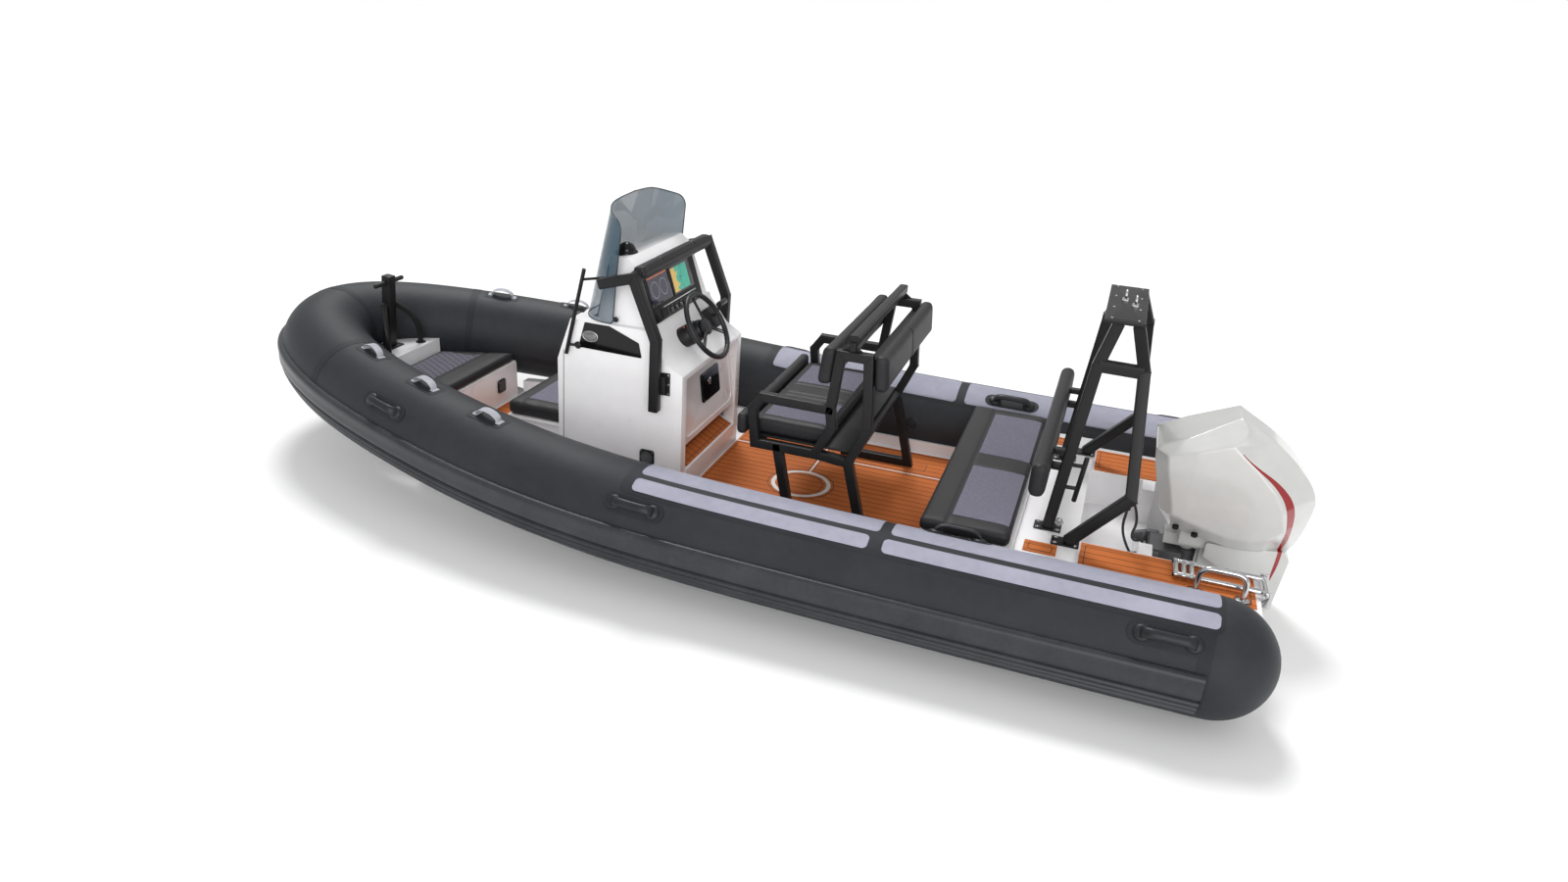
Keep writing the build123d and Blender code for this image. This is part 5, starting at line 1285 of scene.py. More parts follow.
def joined(shells):
    # several shapes as one
    starts = np.cumsum([0] + [len(shell[0]) for shell in shells])
    return (np.vstack([shell[0] for shell in shells]),
            np.vstack([np.asarray(shell[1], int).reshape(-1, 4) + first for shell, first in zip(shells, starts)]),
            np.vstack([np.asarray(shell[2], int).reshape(-1, 3) + first for shell, first in zip(shells, starts)]))


sheetParts = [gridShell(outerSheet, False), gridShell(innerSheet[:, ::-1], False),
              gridShell(np.stack((rim(innerSheet), rim(outerSheet))))]
makePiece("windscreenSheet", [outward(joined(sheetParts))], screenTint, sharp=50, hides=("windscreen",))
edgeLine = rim((outerSheet + innerSheet) / 2)
edgeLine = edgeLine[np.linalg.norm(edgeLine - np.roll(edgeLine, 1, axis=0), axis=1) > 1e-4]
makePiece("windscreenEdge", [carried(edgeLine, ringProfile(0.0032, 8), side=(1, 0, 0), closed=True)], tintEdge)
coat(blackCoat, "windscreen_rail")
for side in (1, -1):
    gripParts += [turned([(0.014, 0), (0.014, 0.004), (0.0105, 0.006), (0.0105, 0.013), (0.008, 0.0155), (0, 0.0155)],
                         (x, side * 0.3915, z), (0, side, 0), 24) for x, z in ((2.673, 1.037), (2.86, 1.06))]
makePiece("windscreenFeet", gripParts, blackPlastic)
railFeet = [turned([(0.019, -0.001), (0.019, 0.004), (0.012, 0.007), (0.008, 0.012), (0, 0.012)],
                   (2.88, console["halfWidth"] + 0.0015, 0.876), (0, 1, 0), 24)]
makePiece("railFeet", railFeet, blackPlastic)
doorSeam = [straightLine((2.985, side * 0.41, 0.20), (2.966, side * 0.41, 0.84), 0.0035, 0.0006, (0, side, 0))
            for side in (1, -1)]
makePiece("doorSeams", doorSeam, collarTape)
print("console fittings")

# welded frames of square tube
frames = {
    "tube": 0.045, "seatSide": 0.5,
    "leg": [(1.748, 0.575), (1.655, 0.1675), (1.285, 0.1675), (1.395, 0.562), (1.318, 0.745), (1.345, 1.085),
            (1.475, 1.085), (1.503, 0.812)],
    "armrest": [(1.495, 0.767), (1.503, 0.812), (1.840, 0.815), (1.885, 0.750), (1.862, 0.575), (1.560, 0.575),
                (1.487, 0.722), (1.495, 0.767)],
    "seatRail": [(1.395, 0.562), (1.560, 0.575)],
    "grabTube": 0.05, "grabSide": [(2.424, 0.640), (2.418, 0.985), (2.540, 1.282)], "grabStub": (2.700, 1.236),
    "archTube": 0.05,
}


def sideRoute(points, y):
    # a route in x and z at one y
    return [(x, y, z) for x, z in points]


def block(low, high, edge=0.002):
    # a box between two corners with eased edges
    low, high = np.minimum(low, high), np.maximum(low, high)
    size = high - low
    corner, ease = min(edge * 1.5, 0.4 * min(size[:2])), min(edge, 0.4 * size[2])
    flat = plate(rectangle(size[0], size[1]), size[2], corner, ease, True, 4)
    return moved(flat, ((low[0] + high[0]) / 2, (low[1] + high[1]) / 2, low[2]), (1, 0, 0), (0, 1, 0), (0, 0, 1))


def pushedEnds(points, reach):
    # the first and last points moved outward along their runs
    p = np.asarray(points, float)
    p[0] += unit(p[0] - p[1]) * reach
    p[-1] += unit(p[-1] - p[-2]) * reach
    return p


for side, node in ((1, "port_seat_frame"), (-1, "starboard_seat_frame")):
    y = side * frames["seatSide"]
    chain, ring = sideRoute(frames["leg"], y), sideRoute(frames["armrest"], y)
    parts = squareTube(pushedEnds(chain, 0.02), frames["tube"]) + squareTube(ring, frames["tube"], capEdge=0.0001)
    parts += squareTube(sideRoute(frames["seatRail"], y), frames["tube"] - 0.001)
    makePiece("seatSideFrame" + ("Port" if side > 0 else "Starboard"), parts, blackCoat,
              hides=(node,))
railParts = squareTube([(1.424, y, 1.157) for y in (-frames["seatSide"], frames["seatSide"])], frames["tube"], side=up,
                       corner=0.009, capEdge=0.004)
for side in (1, -1):
    railParts.append(block((1.410, side * 0.486, 1.1070), (1.438, side * 0.5135, 1.150)))
    for x0, x1 in ((1.371, 1.412), (1.436, 1.477)):
        gusset = plate([(x0, 1.106), (x1, 1.106), (1.436 if x1 > 1.45 else 1.412, 1.136)], 0.006, 0.003, 0.001)
        railParts.append(moved(gusset, (0, side * 0.5 - 0.003, 0), (1, 0, 0), (0, 0, 1), (0, 1, 0)))
for x, z in ((1.350, 1.040), (1.388, 0.575), (1.848, 0.580)):
    railParts += squareTube([(x, -0.48, z), (x, 0.48, z)], 0.032, side=(0, 0, 1), corner=0.005)
makePiece("seatHandrail", railParts, blackCoat, hides=("seat_handrail",))

grabParts = []
for side in (1, -1):
    chain = pushedEnds(sideRoute(frames["grabSide"] + [frames["grabStub"]], side * 0.462), 0.025)
    grabParts += squareTube(chain, frames["grabTube"], corner=0.008)
    grabParts.append(block((2.3605, side * 0.4105, 0.690), (2.4395, side * 0.418, 0.810), 0.003))
    grabParts.append(block((2.378, side * 0.417, 0.705), (2.402, side * 0.452, 0.795), 0.003))
grabX, grabZ = frames["grabSide"][-1]
grabParts += squareTube([(grabX, y, grabZ) for y in (-0.44, 0.44)], frames["grabTube"], side=up, corner=0.008)
makePiece("consoleGrabFrame", grabParts, blackCoat, hides=("console_grab_frame",))
bolts = [bolt((2.369, side * 0.418, z), (0, side, 0), 0.0045, 0.0035) for side in (1, -1) for z in (0.70, 0.75, 0.80)]

arch = {
    "foot": (0.460, 0.420, 0.404), "knee": (0.388, 0.402, 1.188), "top": (0.345, 0.300, 1.328),
    "braceTop": (0.200, 0.402, 1.185), "braceKnee": (0.145, 0.520, 0.660), "braceEnd": (0.366, 0.541, 0.408),
    "braceHead": (0.250, 0.300, 1.328), "plateX": (0.232, 0.402), "plateHalf": 0.318, "plateZ": (1.350, 1.366),
    "shackles": ((0.330, -0.040), (0.285, 0.040)), "shackleRadius": 0.020,
}


def onSide(point, side):
    return point[0], point[1] * side, point[2]


archParts = []
for side in (1, -1):
    for chain in (("foot", "knee", "top"), ("braceEnd", "braceKnee", "braceTop", "braceHead")):
        route = [onSide(arch[k], side) for k in chain]
        route[-1] = tuple(pushedEnds(route, 0.02)[-1])
        archParts += squareTube(route, frames["archTube"], corner=0.008)
    archParts += squareTube([onSide(arch[k], side) for k in ("knee", "braceTop")], frames["archTube"], corner=0.008)
    for x, y in ((0.460, 0.420), (0.372, 0.541)):
        archParts.append(block((x - 0.06, side * y - 0.04, 0.4003), (x + 0.06, side * y + 0.04, 0.408), 0.003))
        bolts += [bolt((x + a, side * y + b, 0.4075), (0, 0, 1)) for a in (-0.044, 0.044) for b in (-0.026, 0.026)]
    for x, low, high in ((0.425, 0.690, 0.718), (0.415, 0.765, 0.790)):
        archParts.append(block((x, side * 0.394, low), (0.4935, side * 0.430, high), 0.003))
(plateAft, plateFore), (plateLow, plateHigh), plateHalf = arch["plateX"], arch["plateZ"], arch["plateHalf"]
archParts.append(block((plateAft, -plateHalf, plateLow), (plateFore, plateHalf, plateHigh), 0.004))
archParts.append(block((plateAft + 0.02, 0.02 - plateHalf, plateHigh - 0.0005),
                       (plateFore - 0.02, plateHalf - 0.02, plateHigh + 0.0015), 0.001))
for z in (0.640, 0.612):
    archParts.append(turned([(0.0115, 0), (0.0115, 0.004), (0.0095, 0.008), (0.0085, 0.014), (0.0065, 0.014)],
                            (0.150, 0.4865, z), (0, -1, 0), 20))
archParts.append(block((0.137, 0.4862, 0.599), (0.163, 0.510, 0.653), 0.003))
archParts.append(roundBar((0.352, 0.405, 0.765), (0.372, 0.405, 0.545), 0.011, 0.004))
for z in (0.720, 0.610):
    x = 0.362 + (0.720 - z) * 0.0636
    archParts.append(roundBar((x, 0.405, z), (x + 0.07, 0.410, z), 0.009, 0.003))
makePiece("sternArchFrame", archParts, blackCoat, hides=("a_frame",))
bolts += [bolt((x, y, 1.3672), (0, 0, 1), 0.0045, 0.0035) for x in (0.262, 0.372) for y in (-0.285, -0.1, 0.1, 0.285)]
makePiece("frameBolts", bolts, stainless)
shackles = []
for x, y in arch["shackles"]:
    turn, radius = turns(48), arch["shackleRadius"]
    loop = np.stack((x + 0 * turn, y + radius * np.cos(turn), 1.392 + radius * np.sin(turn)), axis=1)
    shackles.append(carried(loop, ringProfile(0.005, 14), side=(1, 0, 0), closed=True))
    shackles.append(block((x - 0.014, y - 0.026, 1.3664), (x + 0.014, y + 0.026, 1.374), 0.002))
    shackles += [bolt((x, y + b, 1.3735), (0, 0, 1), 0.0035, 0.0028) for b in (-0.021, 0.021)]
makePiece("towShackles", shackles, stainless, hides=("tow_rings",))
print("welded frames")

# bow post, ladder, hoop and deck eye
postParts = squareTube([(4.4122, 0, 0.503), (4.372, 0, 0.940)], 0.06, corner=0.008)
postParts.append(roundBar((4.374, -0.125, 0.902), (4.374, 0.125, 0.902), 0.013, 0.004))
postParts.append(block((4.352, -0.06, 0.5002), (4.472, 0.06, 0.508), 0.003))
for side in (1, -1):
    route = bentPath([(4.388, side * 0.046, 0.762), (4.330, side * 0.120, 0.690), (4.300, side * 0.150, 0.600),
                      (4.300, side * 0.150, 0.502)], 0.09, 12)
    postParts.append(carried(route, ringProfile(0.016, 24), side=(1, 0, 0)))
    postParts.append(roundBar((4.388, side * 0.020, 0.770), (4.388, side * 0.056, 0.758), 0.019, 0.004))
    postParts.append(turned([(0.030, 0), (0.030, 0.003), (0.026, 0.005), (0.017, 0.006)],
                            (4.300, side * 0.150, 0.5002), up, 32))
makePiece("bowPostAndBraces", postParts, blackCoat, hides=("bow_post",))

ladder = {"sides": (0.590, 0.470), "level": 0.388, "rungs": (-0.092, -0.124, -0.156), "tube": 0.0125}
ladderParts, plugParts = [], []
level, tube = ladder["level"], ladder["tube"]
for y in ladder["sides"]:
    ladderParts.append(roundBar((-0.4462, y, level), (-0.080, y, level), tube, 0.002))
    for x in (*ladder["rungs"], -0.30):
        ladderParts.append(turned([(tube, -0.007), (0.0140, -0.006), (0.0140, 0.006), (tube, 0.007)], (x, y, level),
                                  (1, 0, 0), 24))
    plugParts.append(turned([(tube, 0), (tube, 0.004), (0.010, 0.006), (0, 0.0065)], (-0.0842, y, level), (1, 0, 0),
                            24))
for x in ladder["rungs"]:
    ladderParts.append(roundBar((x, ladder["sides"][1], level), (x, ladder["sides"][0], level), 0.0115, 0.001))
ladderParts.append(roundBar((-0.446, 0.442, level), (-0.446, 0.618, level), 0.010, 0.002))
makePiece("boardingLadder", ladderParts, stainless, body="ladder", hides=("boarding_ladder",))
makePiece("ladderPlugs", plugParts, blackPlastic, body="ladder")
hoop = {"ends": (-0.172, -0.356), "y": 0.655, "foot": 0.3602, "top": 0.478}
hoopCorners = list(zip(np.repeat(hoop["ends"], 2), (hoop["foot"], hoop["top"], hoop["top"], hoop["foot"])))
hoopRoute = bentPath(sideRoute(hoopCorners, hoop["y"]), 0.085, 16)
hoopParts = [carried(hoopRoute, ringProfile(0.0125, 24), side=(0, 1, 0))]
for x in hoop["ends"]:
    hoopParts.append(turned([(0.028, 0), (0.028, 0.0025), (0.025, 0.0045), (0.0135, 0.0055)], (x, hoop["y"], 0.365), up,
                            32))
makePiece("sternGrabHoop", hoopParts, stainless, hides=("grab_hoop",))
eyeParts = []
for side in (1, -1):
    eyeParts.append(block((0.395, side * 0.342, 0.4002), (0.435, side * 0.362, 0.404), 0.001))
    turn = np.linspace(0, math.pi, 20)
    loop = np.stack((0.415 + 0.013 * np.cos(turn), np.full(20, side * 0.352), 0.403 + 0.020 * np.sin(turn)), axis=1)
    eyeParts.append(carried(loop, ringProfile(0.0035, 12), side=(0, 1, 0)))
makePiece("deckEyes", eyeParts, stainless)
# foam that closes the cut-outs round the seat's feet
fillers = [block((1.2002, y - 0.0298, 0.1455), (1.6998, y + 0.0298, 0.1498), 0.0004)
           for y in (frames["seatSide"], -frames["seatSide"])]
makePiece("deckFootFillers", fillers, deckFoam)
print("bow post, ladder and hoop")

# outboard: painted casings with a red stripe
motor = {
    # cowl, all against height: nose, aft profile and the side panel's aft edge
    "noseHeights": (0.352, 0.400, 0.480, 0.700, 0.768, 0.948), "nose": (-0.340, -0.060, 0.000, 0.062, 0.072, -0.2455),
    "aftHeights": (0.352, 0.390, 0.470, 0.535, 0.587, 0.627, 0.685, 0.733, 0.770, 0.815, 0.866, 0.912, 0.948),
    "aft": (-0.572, -0.592, -0.612, -0.622, -0.627, -0.625, -0.597, -0.552, -0.521, -0.468, -0.400, -0.318, -0.250),
    "panelHeights": (0.352, 0.453, 0.525, 0.612, 0.681, 0.773, 0.840, 0.860, 0.925),
    "panelAft": (-0.500, -0.512, -0.516, -0.495, -0.452, -0.353, -0.255, -0.227, -0.245),
    # the side panel's lower edge, against length
    "lowerAt": (-0.640, -0.517, -0.460, -0.388, -0.288, -0.174, -0.071, -0.005, 0.080),
    "lower": (0.560, 0.512, 0.453, 0.424, 0.421, 0.451, 0.483, 0.503, 0.530),
    "low": 0.352, "high": 0.948, "spineHalf": 0.082, "ease": 0.0028, "rows": 150, "columns": 130, "endColumns": 12,
    # half width of the side: its greatest, its fall with height either side of a level, and its taper to the nose
    "sideHalf": 0.240, "sideFall": 0.35, "sideLevel": 0.62, "noseTaper": 0.08, "taperFrom": -0.1,
    # the sloping shoulder: half width at the origin, and its change with x and z
    "shoulder": (1.5113, -0.614, -1.661),
    "undercutStep": 0.006, "undercutSlope": 0.72, "quarterFlare": 0.145, "chamferHalf": 0.150, "chamferSlope": 1.4,
    "stripeHeights": (0.835, 0.80, 0.760, 0.710, 0.665, 0.594, 0.507, 0.47, 0.388, 0.30, 0.215),
    "stripeX": (-0.270, -0.318, -0.372, -0.439, -0.487, -0.519, -0.532, -0.534, -0.538, -0.537, -0.532),
    "widthHeights": (0.835, 0.80, 0.757, 0.72, 0.665, 0.59, 0.51, 0.39, 0.30, 0.215),
    "widths": (0.004, 0.009, 0.017, 0.026, 0.036, 0.034, 0.025, 0.021, 0.014, 0.002),
    "stripeSpan": (0.216, 0.834), "stripeFrom": 0.10,
    "plugs": ((-0.082, 0.2225, 0.430), (-0.168, 0.2095, 0.402)), "plugOut": (0, 0.81, -0.58),
}
stripeCurve = np.polyfit(motor["stripeHeights"], motor["stripeX"], 6)
widthCurve = np.polyfit(motor["widthHeights"], motor["widths"], 5)


def worked(tree, value, terms):
    # a polynomial by repeated multiply and add
    total = float(terms[0])
    for term in terms[1:]:
        total = calc(tree, "MULTIPLY_ADD", total, value, float(term))
    return total


def runningMean(values, reach):
    # a running mean that keeps the two ends
    padded = np.concatenate((2 * values[0] - values[reach:0:-1], values, 2 * values[-1] - values[-2:-reach - 2:-1]))
    return np.convolve(padded, np.ones(2 * reach + 1) / (2 * reach + 1), "valid")


def cowlHalfWidth(x, z):
    # the least of five faces: side, sloping shoulder, undercut, aft quarter and nose chamfer, with eased corners
    nose = np.interp(z, motor["noseHeights"], motor["nose"])
    aft = np.interp(z, motor["aftHeights"], motor["aft"])
    panelAft = np.interp(z, motor["panelHeights"], motor["panelAft"])
    side = motor["sideHalf"] - motor["sideFall"] * (z - motor["sideLevel"]) ** 2
    side = side - motor["noseTaper"] * np.maximum(x - motor["taperFrom"], 0)
    shoulder = motor["shoulder"][0] + motor["shoulder"][1] * x + motor["shoulder"][2] * z
    below = np.interp(x, motor["lowerAt"], motor["lower"]) - z
    undercut = side - motor["undercutStep"] - motor["undercutSlope"] * below
    quarterShare = np.maximum(x - aft, 0) / np.maximum(panelAft - aft, 0.012)
    quarter = motor["spineHalf"] + motor["quarterFlare"] * quarterShare
    chamfer = motor["chamferHalf"] + (nose - x) * motor["chamferSlope"]
    faces = np.stack((side, shoulder, undercut, quarter, chamfer))
    least = faces.min(axis=0)
    return least - motor["ease"] * np.log(np.exp(-(faces - least) / motor["ease"]).sum(axis=0))


def cowlShell():
    # a ring at each height: nose, port side, aft spine, starboard side
    z = np.linspace(motor["low"], motor["high"], motor["rows"])
    nose = runningMean(np.interp(z, motor["noseHeights"], motor["nose"]), 3)
    aft = runningMean(np.interp(z, motor["aftHeights"], motor["aft"]), 7)
    share = np.linspace(0, 1, motor["columns"])
    x = nose[:, None] + (np.minimum(aft, nose - 0.002) - nose)[:, None] * share
    heights = np.repeat(z[:, None], motor["columns"], axis=1)
    y = np.maximum(cowlHalfWidth(x, heights), 0.02)
    port = np.stack((x, y, heights), axis=-1)
    count = motor["endColumns"]
    across = np.linspace(1, -1, count + 2)[1:-1]
    aftFace = np.stack((np.repeat(x[:, -1:], count, axis=1), y[:, -1:] * across, heights[:, :count]), axis=-1)
    noseFace = np.stack((np.repeat(x[:, :1], count, axis=1), -y[:, :1] * across, heights[:, :count]), axis=-1)
    starboard = port[:, ::-1] * (1, -1, 1)
    return gridShell(np.concatenate((port, aftFace, starboard, noseFace), axis=1), True, True, True)


paintTree = motorPaint.node_tree
paintX, paintY, paintZ = splitVector(paintTree, objectPlace(motorPaint))
stripeMiddle, stripeWidth = worked(paintTree, paintZ, stripeCurve), worked(paintTree, paintZ, widthCurve)
offCentre = calc(paintTree, "ABSOLUTE", calc(paintTree, "SUBTRACT", paintX, stripeMiddle))
inside = calc(paintTree, "LESS_THAN", offCentre, calc(paintTree, "MULTIPLY", stripeWidth, 0.5))
span = calc(paintTree, "MULTIPLY", calc(paintTree, "GREATER_THAN", paintZ, motor["stripeSpan"][0]),
            calc(paintTree, "LESS_THAN", paintZ, motor["stripeSpan"][1]))
outer = calc(paintTree, "GREATER_THAN", calc(paintTree, "ABSOLUTE", paintY), motor["stripeFrom"])
stripeMask = calc(paintTree, "MULTIPLY", calc(paintTree, "MULTIPLY", inside, span), outer)
overColour(motorPaint, stripeMask, shade(142, 16, 24))
makePiece("motorCowl", [outward(cowlShell())], motorPaint, body="outboard", sharp=0, hides=("outboard_cowl",))
eased("motorMidsection", "outboard_midsection", motorPaint, 0.008)
eased("motorGearcase", "outboard_gearcase", gearPaint, 0.006)
coat(dullMetal, "propeller")
plugs = []
for x, y, z in motor["plugs"]:
    for side in (1, -1):
        out = np.array(motor["plugOut"]) * (1, side, 1)
        plugs.append(turned([(0.015, -0.012), (0.015, 0.002), (0.012, 0.004), (0.010, 0.0025), (0, 0.0025)],
                            (x, side * y, z), out, 28))
makePiece("cowlPlugs", plugs, glossBlack, body="outboard")
print("outboard")

# upholstery: each pad is swollen as cloth, then its seams are drawn in
padding = {"pressure": 4.0, "frames": 20, "seamDepth": 0.0055, "seamWidth": 0.009}


def swollen(mesh, cap):
    # cloth under pressure for some frames; each point then moves no further than the cap
    scene = bpy.context.scene
    work = bpy.data.objects.new("padWork", mesh)
    scene.collection.objects.link(work)
    rest = meshVectors(mesh.vertices, "co")
    modifier = work.modifiers.new("cloth", "CLOTH")
    settings = modifier.settings
    settings.quality = 4
    settings.mass = 0.3
    settings.tension_stiffness = settings.compression_stiffness = 12
    settings.shear_stiffness = 6
    settings.bending_stiffness = 0.6
    settings.use_pressure = True
    settings.uniform_pressure_force = padding["pressure"]
    settings.effector_weights.gravity = 0
    modifier.point_cache.frame_start = 1
    modifier.point_cache.frame_end = padding["frames"]
    for step in range(1, padding["frames"] + 1):
        scene.frame_set(step)
    depsgraph = bpy.context.evaluated_depsgraph_get()
    result = bpy.data.meshes.new_from_object(work.evaluated_get(depsgraph))
    shift = meshVectors(result.vertices, "co") - rest
    bpy.data.meshes.remove(result)
    bpy.data.objects.remove(work)
    scene.frame_set(1)
    reach = np.linalg.norm(shift, axis=1, keepdims=True)
    return rest, shift * np.minimum(1, cap / np.maximum(reach, 1e-9))


def cushion(name, node, shell, material, voxel=0.009, cap=0.007, seams=(), floor=None):
    # remeshed evenly, swollen, pressed flat on its floor, then drawn in at each seam by depth*exp(-(distance/width)^2)
    mesh = bpy.data.meshes.new(name)
    mesh.from_pydata(shell[0].tolist(), [], np.asarray(shell[1], int).tolist() + np.asarray(shell[2], int).tolist())
    work = bpy.data.objects.new(name + "Work", mesh)
    bpy.context.scene.collection.objects.link(work)
    modifier = work.modifiers.new("remesh", "REMESH")
    modifier.mode = "VOXEL"
    modifier.voxel_size = voxel
    bpy.context.view_layer.update()
    even = applied(work)
    bpy.data.objects.remove(work)
    rest, shift = swollen(even, cap)
    points = rest + shift
    if floor is not None:
        points[:, 2] = np.maximum(points[:, 2], floor)
    even.vertices.foreach_set("co", points.ravel())
    even.update()
    normal = meshVectors(even.vertices, "normal")
    depth = np.zeros(len(points))
    for centre, direction, length, facing in seams:
        # a seam is a straight stretch seen along its facing axis
        offset = points - np.asarray(centre, float)
        along = unit(direction)
        side = unit(np.cross(along, facing))
        beyond = np.maximum(np.abs(offset @ along) - length / 2, 0)
        distance = np.hypot(offset @ side, beyond)
        faces = np.clip(((normal @ unit(facing)) - 0.1) * 3, 0, 1)
        depth = np.maximum(depth, faces * padding["seamDepth"] * np.exp(-(distance / padding["seamWidth"]) ** 2))
    points -= normal * depth[:, None]
    even.vertices.foreach_set("co", points.ravel())
    even.update()
    piece = finishPiece(name, even, material, frame["nodes"][node]["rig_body"], 0, (node,), subdivide=1)
    return piece


def insertFinish(name, panels, dark, light, quilted=False, weavePitch=0.0032):
    # vinyl with woven panels let into its top; a thin dark seam runs round each
    material = finish(name, vinyl["dark"], vinyl["light"], 0.5, 0.1, 6.0, Specular_IOR_Level=vinyl["specular"])
    tree = material.node_tree
    shader = tree.nodes["Principled BSDF"]
    place = objectPlace(material)
    mask, seam = 0.0, 0.0
    for centre, half in panels:
        made = placed(tree, panelGroup, place, Centre=centre, Half=half, Border=0.0022)
        mask = calc(tree, "MAXIMUM", mask, made["Mask"])
        seam = calc(tree, "MAXIMUM", seam, made["Seam"])
    fibre = placed(tree, mottleGroup, place, Scale=70.0)["Tone"]
    cloth = blended(tree, fibre, dark, light)
    woven = placed(tree, weaveGroup, place, Pitch=weavePitch)
    cloth = blended(tree, calc(tree, "MULTIPLY", woven["Mask"], 0.35), cloth, dark)
    relief = woven["Height"]
    if quilted:
        diamonds = placed(tree, quiltGroup, place, Pitch=0.042)
        cloth = blended(tree, diamonds["Line"], cloth, shade(50, 49, 56))
        relief = calc(tree, "MULTIPLY_ADD", diamonds["Height"], 3.0, calc(tree, "MULTIPLY", relief, 0.3))
    base = shader.inputs["Base Color"]
    tree.links.new(blended(tree, mask, base.links[0].from_socket, cloth), base)
    overColour(material, seam, shade(30, 30, 32))
    rough = shader.inputs["Roughness"]
    tree.links.new(calc(tree, "MULTIPLY_ADD", mask, 0.3, rough.links[0].from_socket), rough)
    grain = placed(tree, grainGroup, place, Scale=700.0)["Height"]
    both = calc(tree, "ADD", calc(tree, "MULTIPLY", relief, mask), calc(tree, "MULTIPLY", grain, 0.6))
    addRelief(tree, shader, both, 0.5, 0.0008)
    return material


def alongY(outline, half, corner, edge):
    # an outline in x and z carried from -half to half
    return moved(plate(outline, 2 * half, corner, edge, True, 8), (0, half, 0), (1, 0, 0), (0, 0, 1), (0, -1, 0))


def slab(outline, low, high, corner, edge):
    # an outline in x and y between two heights
    shell = plate(outline, high - low, corner, edge, True, 8)
    return shell[0] + (0, 0, low), shell[1], shell[2]


lavender = (shade(104, 102, 116), shade(124, 122, 136))
benchFinish = insertFinish("benchUpholstery", [((0.7375, side * 0.37, 0.49), (0.1275, 0.29, 0.03)) for side in (1, -1)],
                           *lavender)
helmFinish = insertFinish("helmUpholstery", [((1.70, side * 0.255, 0.69), (0.16, 0.145, 0.03)) for side in (1, -1)],
                          *lavender)
bowFinish = insertFinish("bowUpholstery", [((4.075, 0.0, 0.44), (0.125, 0.235, 0.03))], shade(92, 90, 100),
                         shade(110, 108, 120), quilted=True)
frontFinish = insertFinish("frontSeatUpholstery", [((3.185, 0.0, 0.45), (0.115, 0.235, 0.03))], *lavender)
benchSeams = [((0.87, 0, 0.49), (0, 1, 0), 1.46, up)]
benchSeams += [((0.73, side * y, 0.49), (1, 0, 0), 0.27, up) for side in (1, -1) for y in (0.08, 0.66)]
cushion("benchCushion", "bench_cushion", slab(rectangle(0.405, 1.522, 0.7935, 0), 0.4245, 0.4845, 0.03, 0.02),
        benchFinish, 0.011, 0.006, benchSeams, 0.4236)
benchBack = [(0.498, 0.656), (0.498, 0.811), (0.560, 0.811), (0.560, 0.656)]
cushion("benchBackrest", "bench_backrest", alongY(benchBack, 0.701, 0.028, 0.024), seatVinyl, 0.009, 0.005)
helmSeams = [((1.868, 0, 0.69), (0, 1, 0), 0.92, up), ((1.885, 0, 0.69), (1, 0, 0), 0.05, up)]
helmSeams += [((1.70, side * y, 0.69), (1, 0, 0), 0.33, up) for side in (1, -1) for y in (0.065, 0.11, 0.40)]
cushion("helmSeatCushion", "helm_seat_cushion", slab(rectangle(0.389, 0.935, 1.7105, 0), 0.6115, 0.685, 0.025, 0.02),
        helmFinish, 0.009, 0.006, helmSeams, 0.6103)
# long pads with one upright seam: piece, node, outline in x and z, half length, voxel, seam
longPads = (
    ("helmBolster", "helm_bolster", [(1.9125, 0.602), (1.9125, 0.711), (1.964, 0.711), (1.964, 0.602)], 0.514, 0.008,
     ((1.94, 0, 0.66), up, 0.2, (1, 0, 0.3))),
    ("helmBackrest", "helm_backrest", [(1.5170, 0.929), (1.4990, 1.111), (1.5600, 1.111), (1.5800, 0.929)], 0.521,
     0.009, ((1.575, 0, 1.02), up, 0.22, (1, 0, 0))),
    ("rearBackrest", "rear_backrest", [(1.3060, 0.934), (1.3200, 1.106), (1.2620, 1.106), (1.2480, 0.934)], 0.521,
     0.009, ((1.25, 0, 1.02), up, 0.22, (-1, 0, 0))),
)
for piece, node, outline, half, voxel, seam in longPads:
    cushion(piece, node, alongY(outline, half, 0.026, 0.022), seatVinyl, voxel, 0.005, [seam])
bowOutline = [(3.797, -0.417), (4.230, -0.244), (4.230, 0.244), (3.797, 0.417)]
bowSeams = [((3.945, 0, 0.44), (0, 1, 0), 0.70, up), ((4.203, 0, 0.44), (0, 1, 0), 0.50, up)]
bowSeams += [((4.075, side * 0.235, 0.44), (1, 0, 0), 0.26, up) for side in (1, -1)]
cushion("bowCushion", "bow_cushion", slab(bowOutline, 0.3785, 0.4350, 0.03, 0.02), bowFinish, 0.009, 0.006, bowSeams,
        0.3776)
frontSeams = [((3.305, 0, 0.45), (0, 1, 0), 0.62, up)]
frontSeams += [((3.185, side * 0.235, 0.45), (1, 0, 0), 0.24, up) for side in (1, -1)]
cushion("frontSeatCushion", "front_seat_cushion", slab(rectangle(0.361, 0.652, 3.2105, 0), 0.3685, 0.4450, 0.04, 0.024),
        frontFinish, 0.009, 0.006, frontSeams, 0.3676)
rollOutline = [(2.4985, 1.266), (2.4985, 1.328), (2.5675, 1.328), (2.5675, 1.266)]
rollSeams = [((2.534, y, 1.33), (1, 0, 0), 0.2, up) for y in (-0.2, 0.2)]
rollSeams.append(((2.495, 0, 1.315), (0, 1, 0), 0.84, (-1, 0, 0.4)))
cushion("grabRoll", "grab_roll", alongY(rollOutline, 0.42, 0.028, 0.012), seatVinyl, 0.007, 0.004, rollSeams)
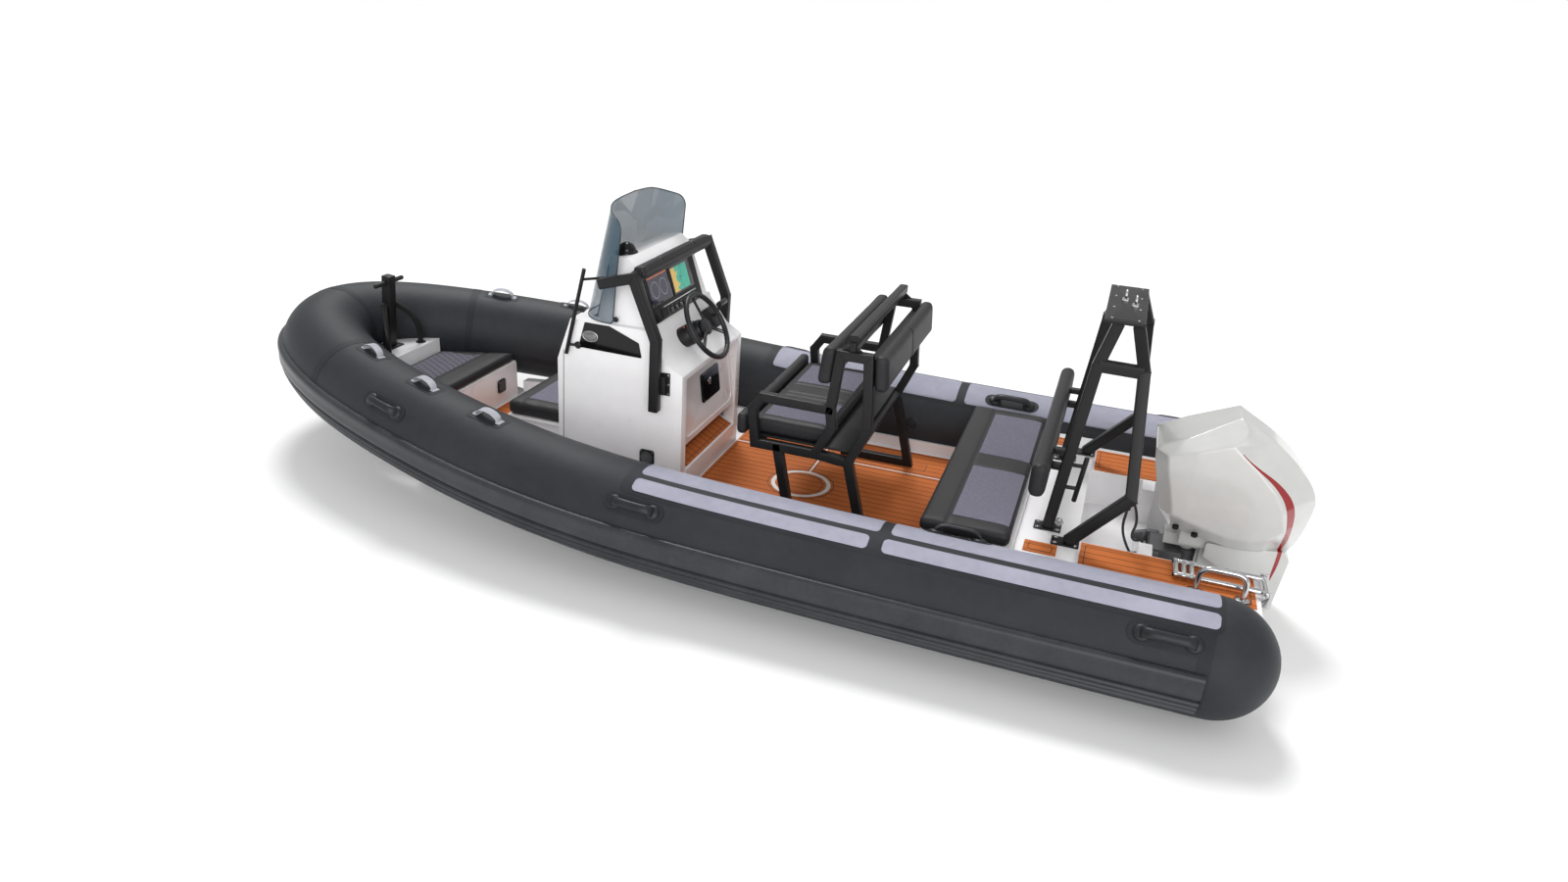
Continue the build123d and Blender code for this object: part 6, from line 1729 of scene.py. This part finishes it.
print("upholstery")

# floor, sky and sun
floorMesh = bpy.data.meshes.new("studioFloor")
reach = studio["floorReach"]
floorMesh.from_pydata([(x, y, 0) for x, y in rectangle(2 * reach, 2 * reach)], [], [(0, 1, 2, 3)])
floorObject = bpy.data.objects.new("studioFloor", floorMesh)
bpy.context.scene.collection.objects.link(floorObject)
floorFinish = finish("floorFinish", (238, 238, 238), (240, 240, 240), 0.9, 0.02, 0.5, None,
                     Specular_IOR_Level=0.0)
floorTree = floorFinish.node_tree
rays = floorTree.nodes.new("ShaderNodeLightPath")
seen = calc(floorTree, "ADD", rays.outputs["Is Camera Ray"], rays.outputs["Is Glossy Ray"])
seen = calc(floorTree, "MINIMUM", calc(floorTree, "ADD", seen, rays.outputs["Is Transmission Ray"]), 1.0)
floorShader = floorTree.nodes["Principled BSDF"]
floorShader.inputs["Emission Color"].default_value = (1, 1, 1, 1)
floorTree.links.new(calc(floorTree, "MULTIPLY", seen, 0.06), floorShader.inputs["Emission Strength"])
floorMesh.materials.append(floorFinish)

world = bpy.data.worlds.new("studioSky")
world.use_nodes = True
bpy.context.scene.world = world
skyTree = world.node_tree
sky = skyTree.nodes["Background"]
rays = skyTree.nodes.new("ShaderNodeLightPath")
direct = calc(skyTree, "MAXIMUM", rays.outputs["Is Camera Ray"], rays.outputs["Is Transmission Ray"])
heightSocket = splitVector(skyTree, skyTree.nodes.new("ShaderNodeTexCoord").outputs["Generated"])[2]
gradient = calc(skyTree, "MULTIPLY_ADD", heightSocket, 0.22, studio["skyStrength"])
strength = calc(skyTree, "MULTIPLY_ADD", direct, calc(skyTree, "SUBTRACT", 1.0, gradient), gradient)
skyTree.links.new(strength, sky.inputs["Strength"])
sky.inputs["Color"].default_value = (1, 1, 1, 1)
for k, (direction, strength, softness) in enumerate(studio["suns"]):
    sunData = bpy.data.lights.new("studioSun" + str(k), "SUN")
    sunData.energy = strength
    sunData.angle = math.radians(softness)
    sunObject = bpy.data.objects.new(sunData.name, sunData)
    sunObject.rotation_mode = "QUATERNION"
    sunObject.rotation_quaternion = Vector(direction).to_track_quat("-Z", "Y")
    bpy.context.scene.collection.objects.link(sunObject)
bpy.context.scene.view_settings.view_transform = "Standard"

print("stage")
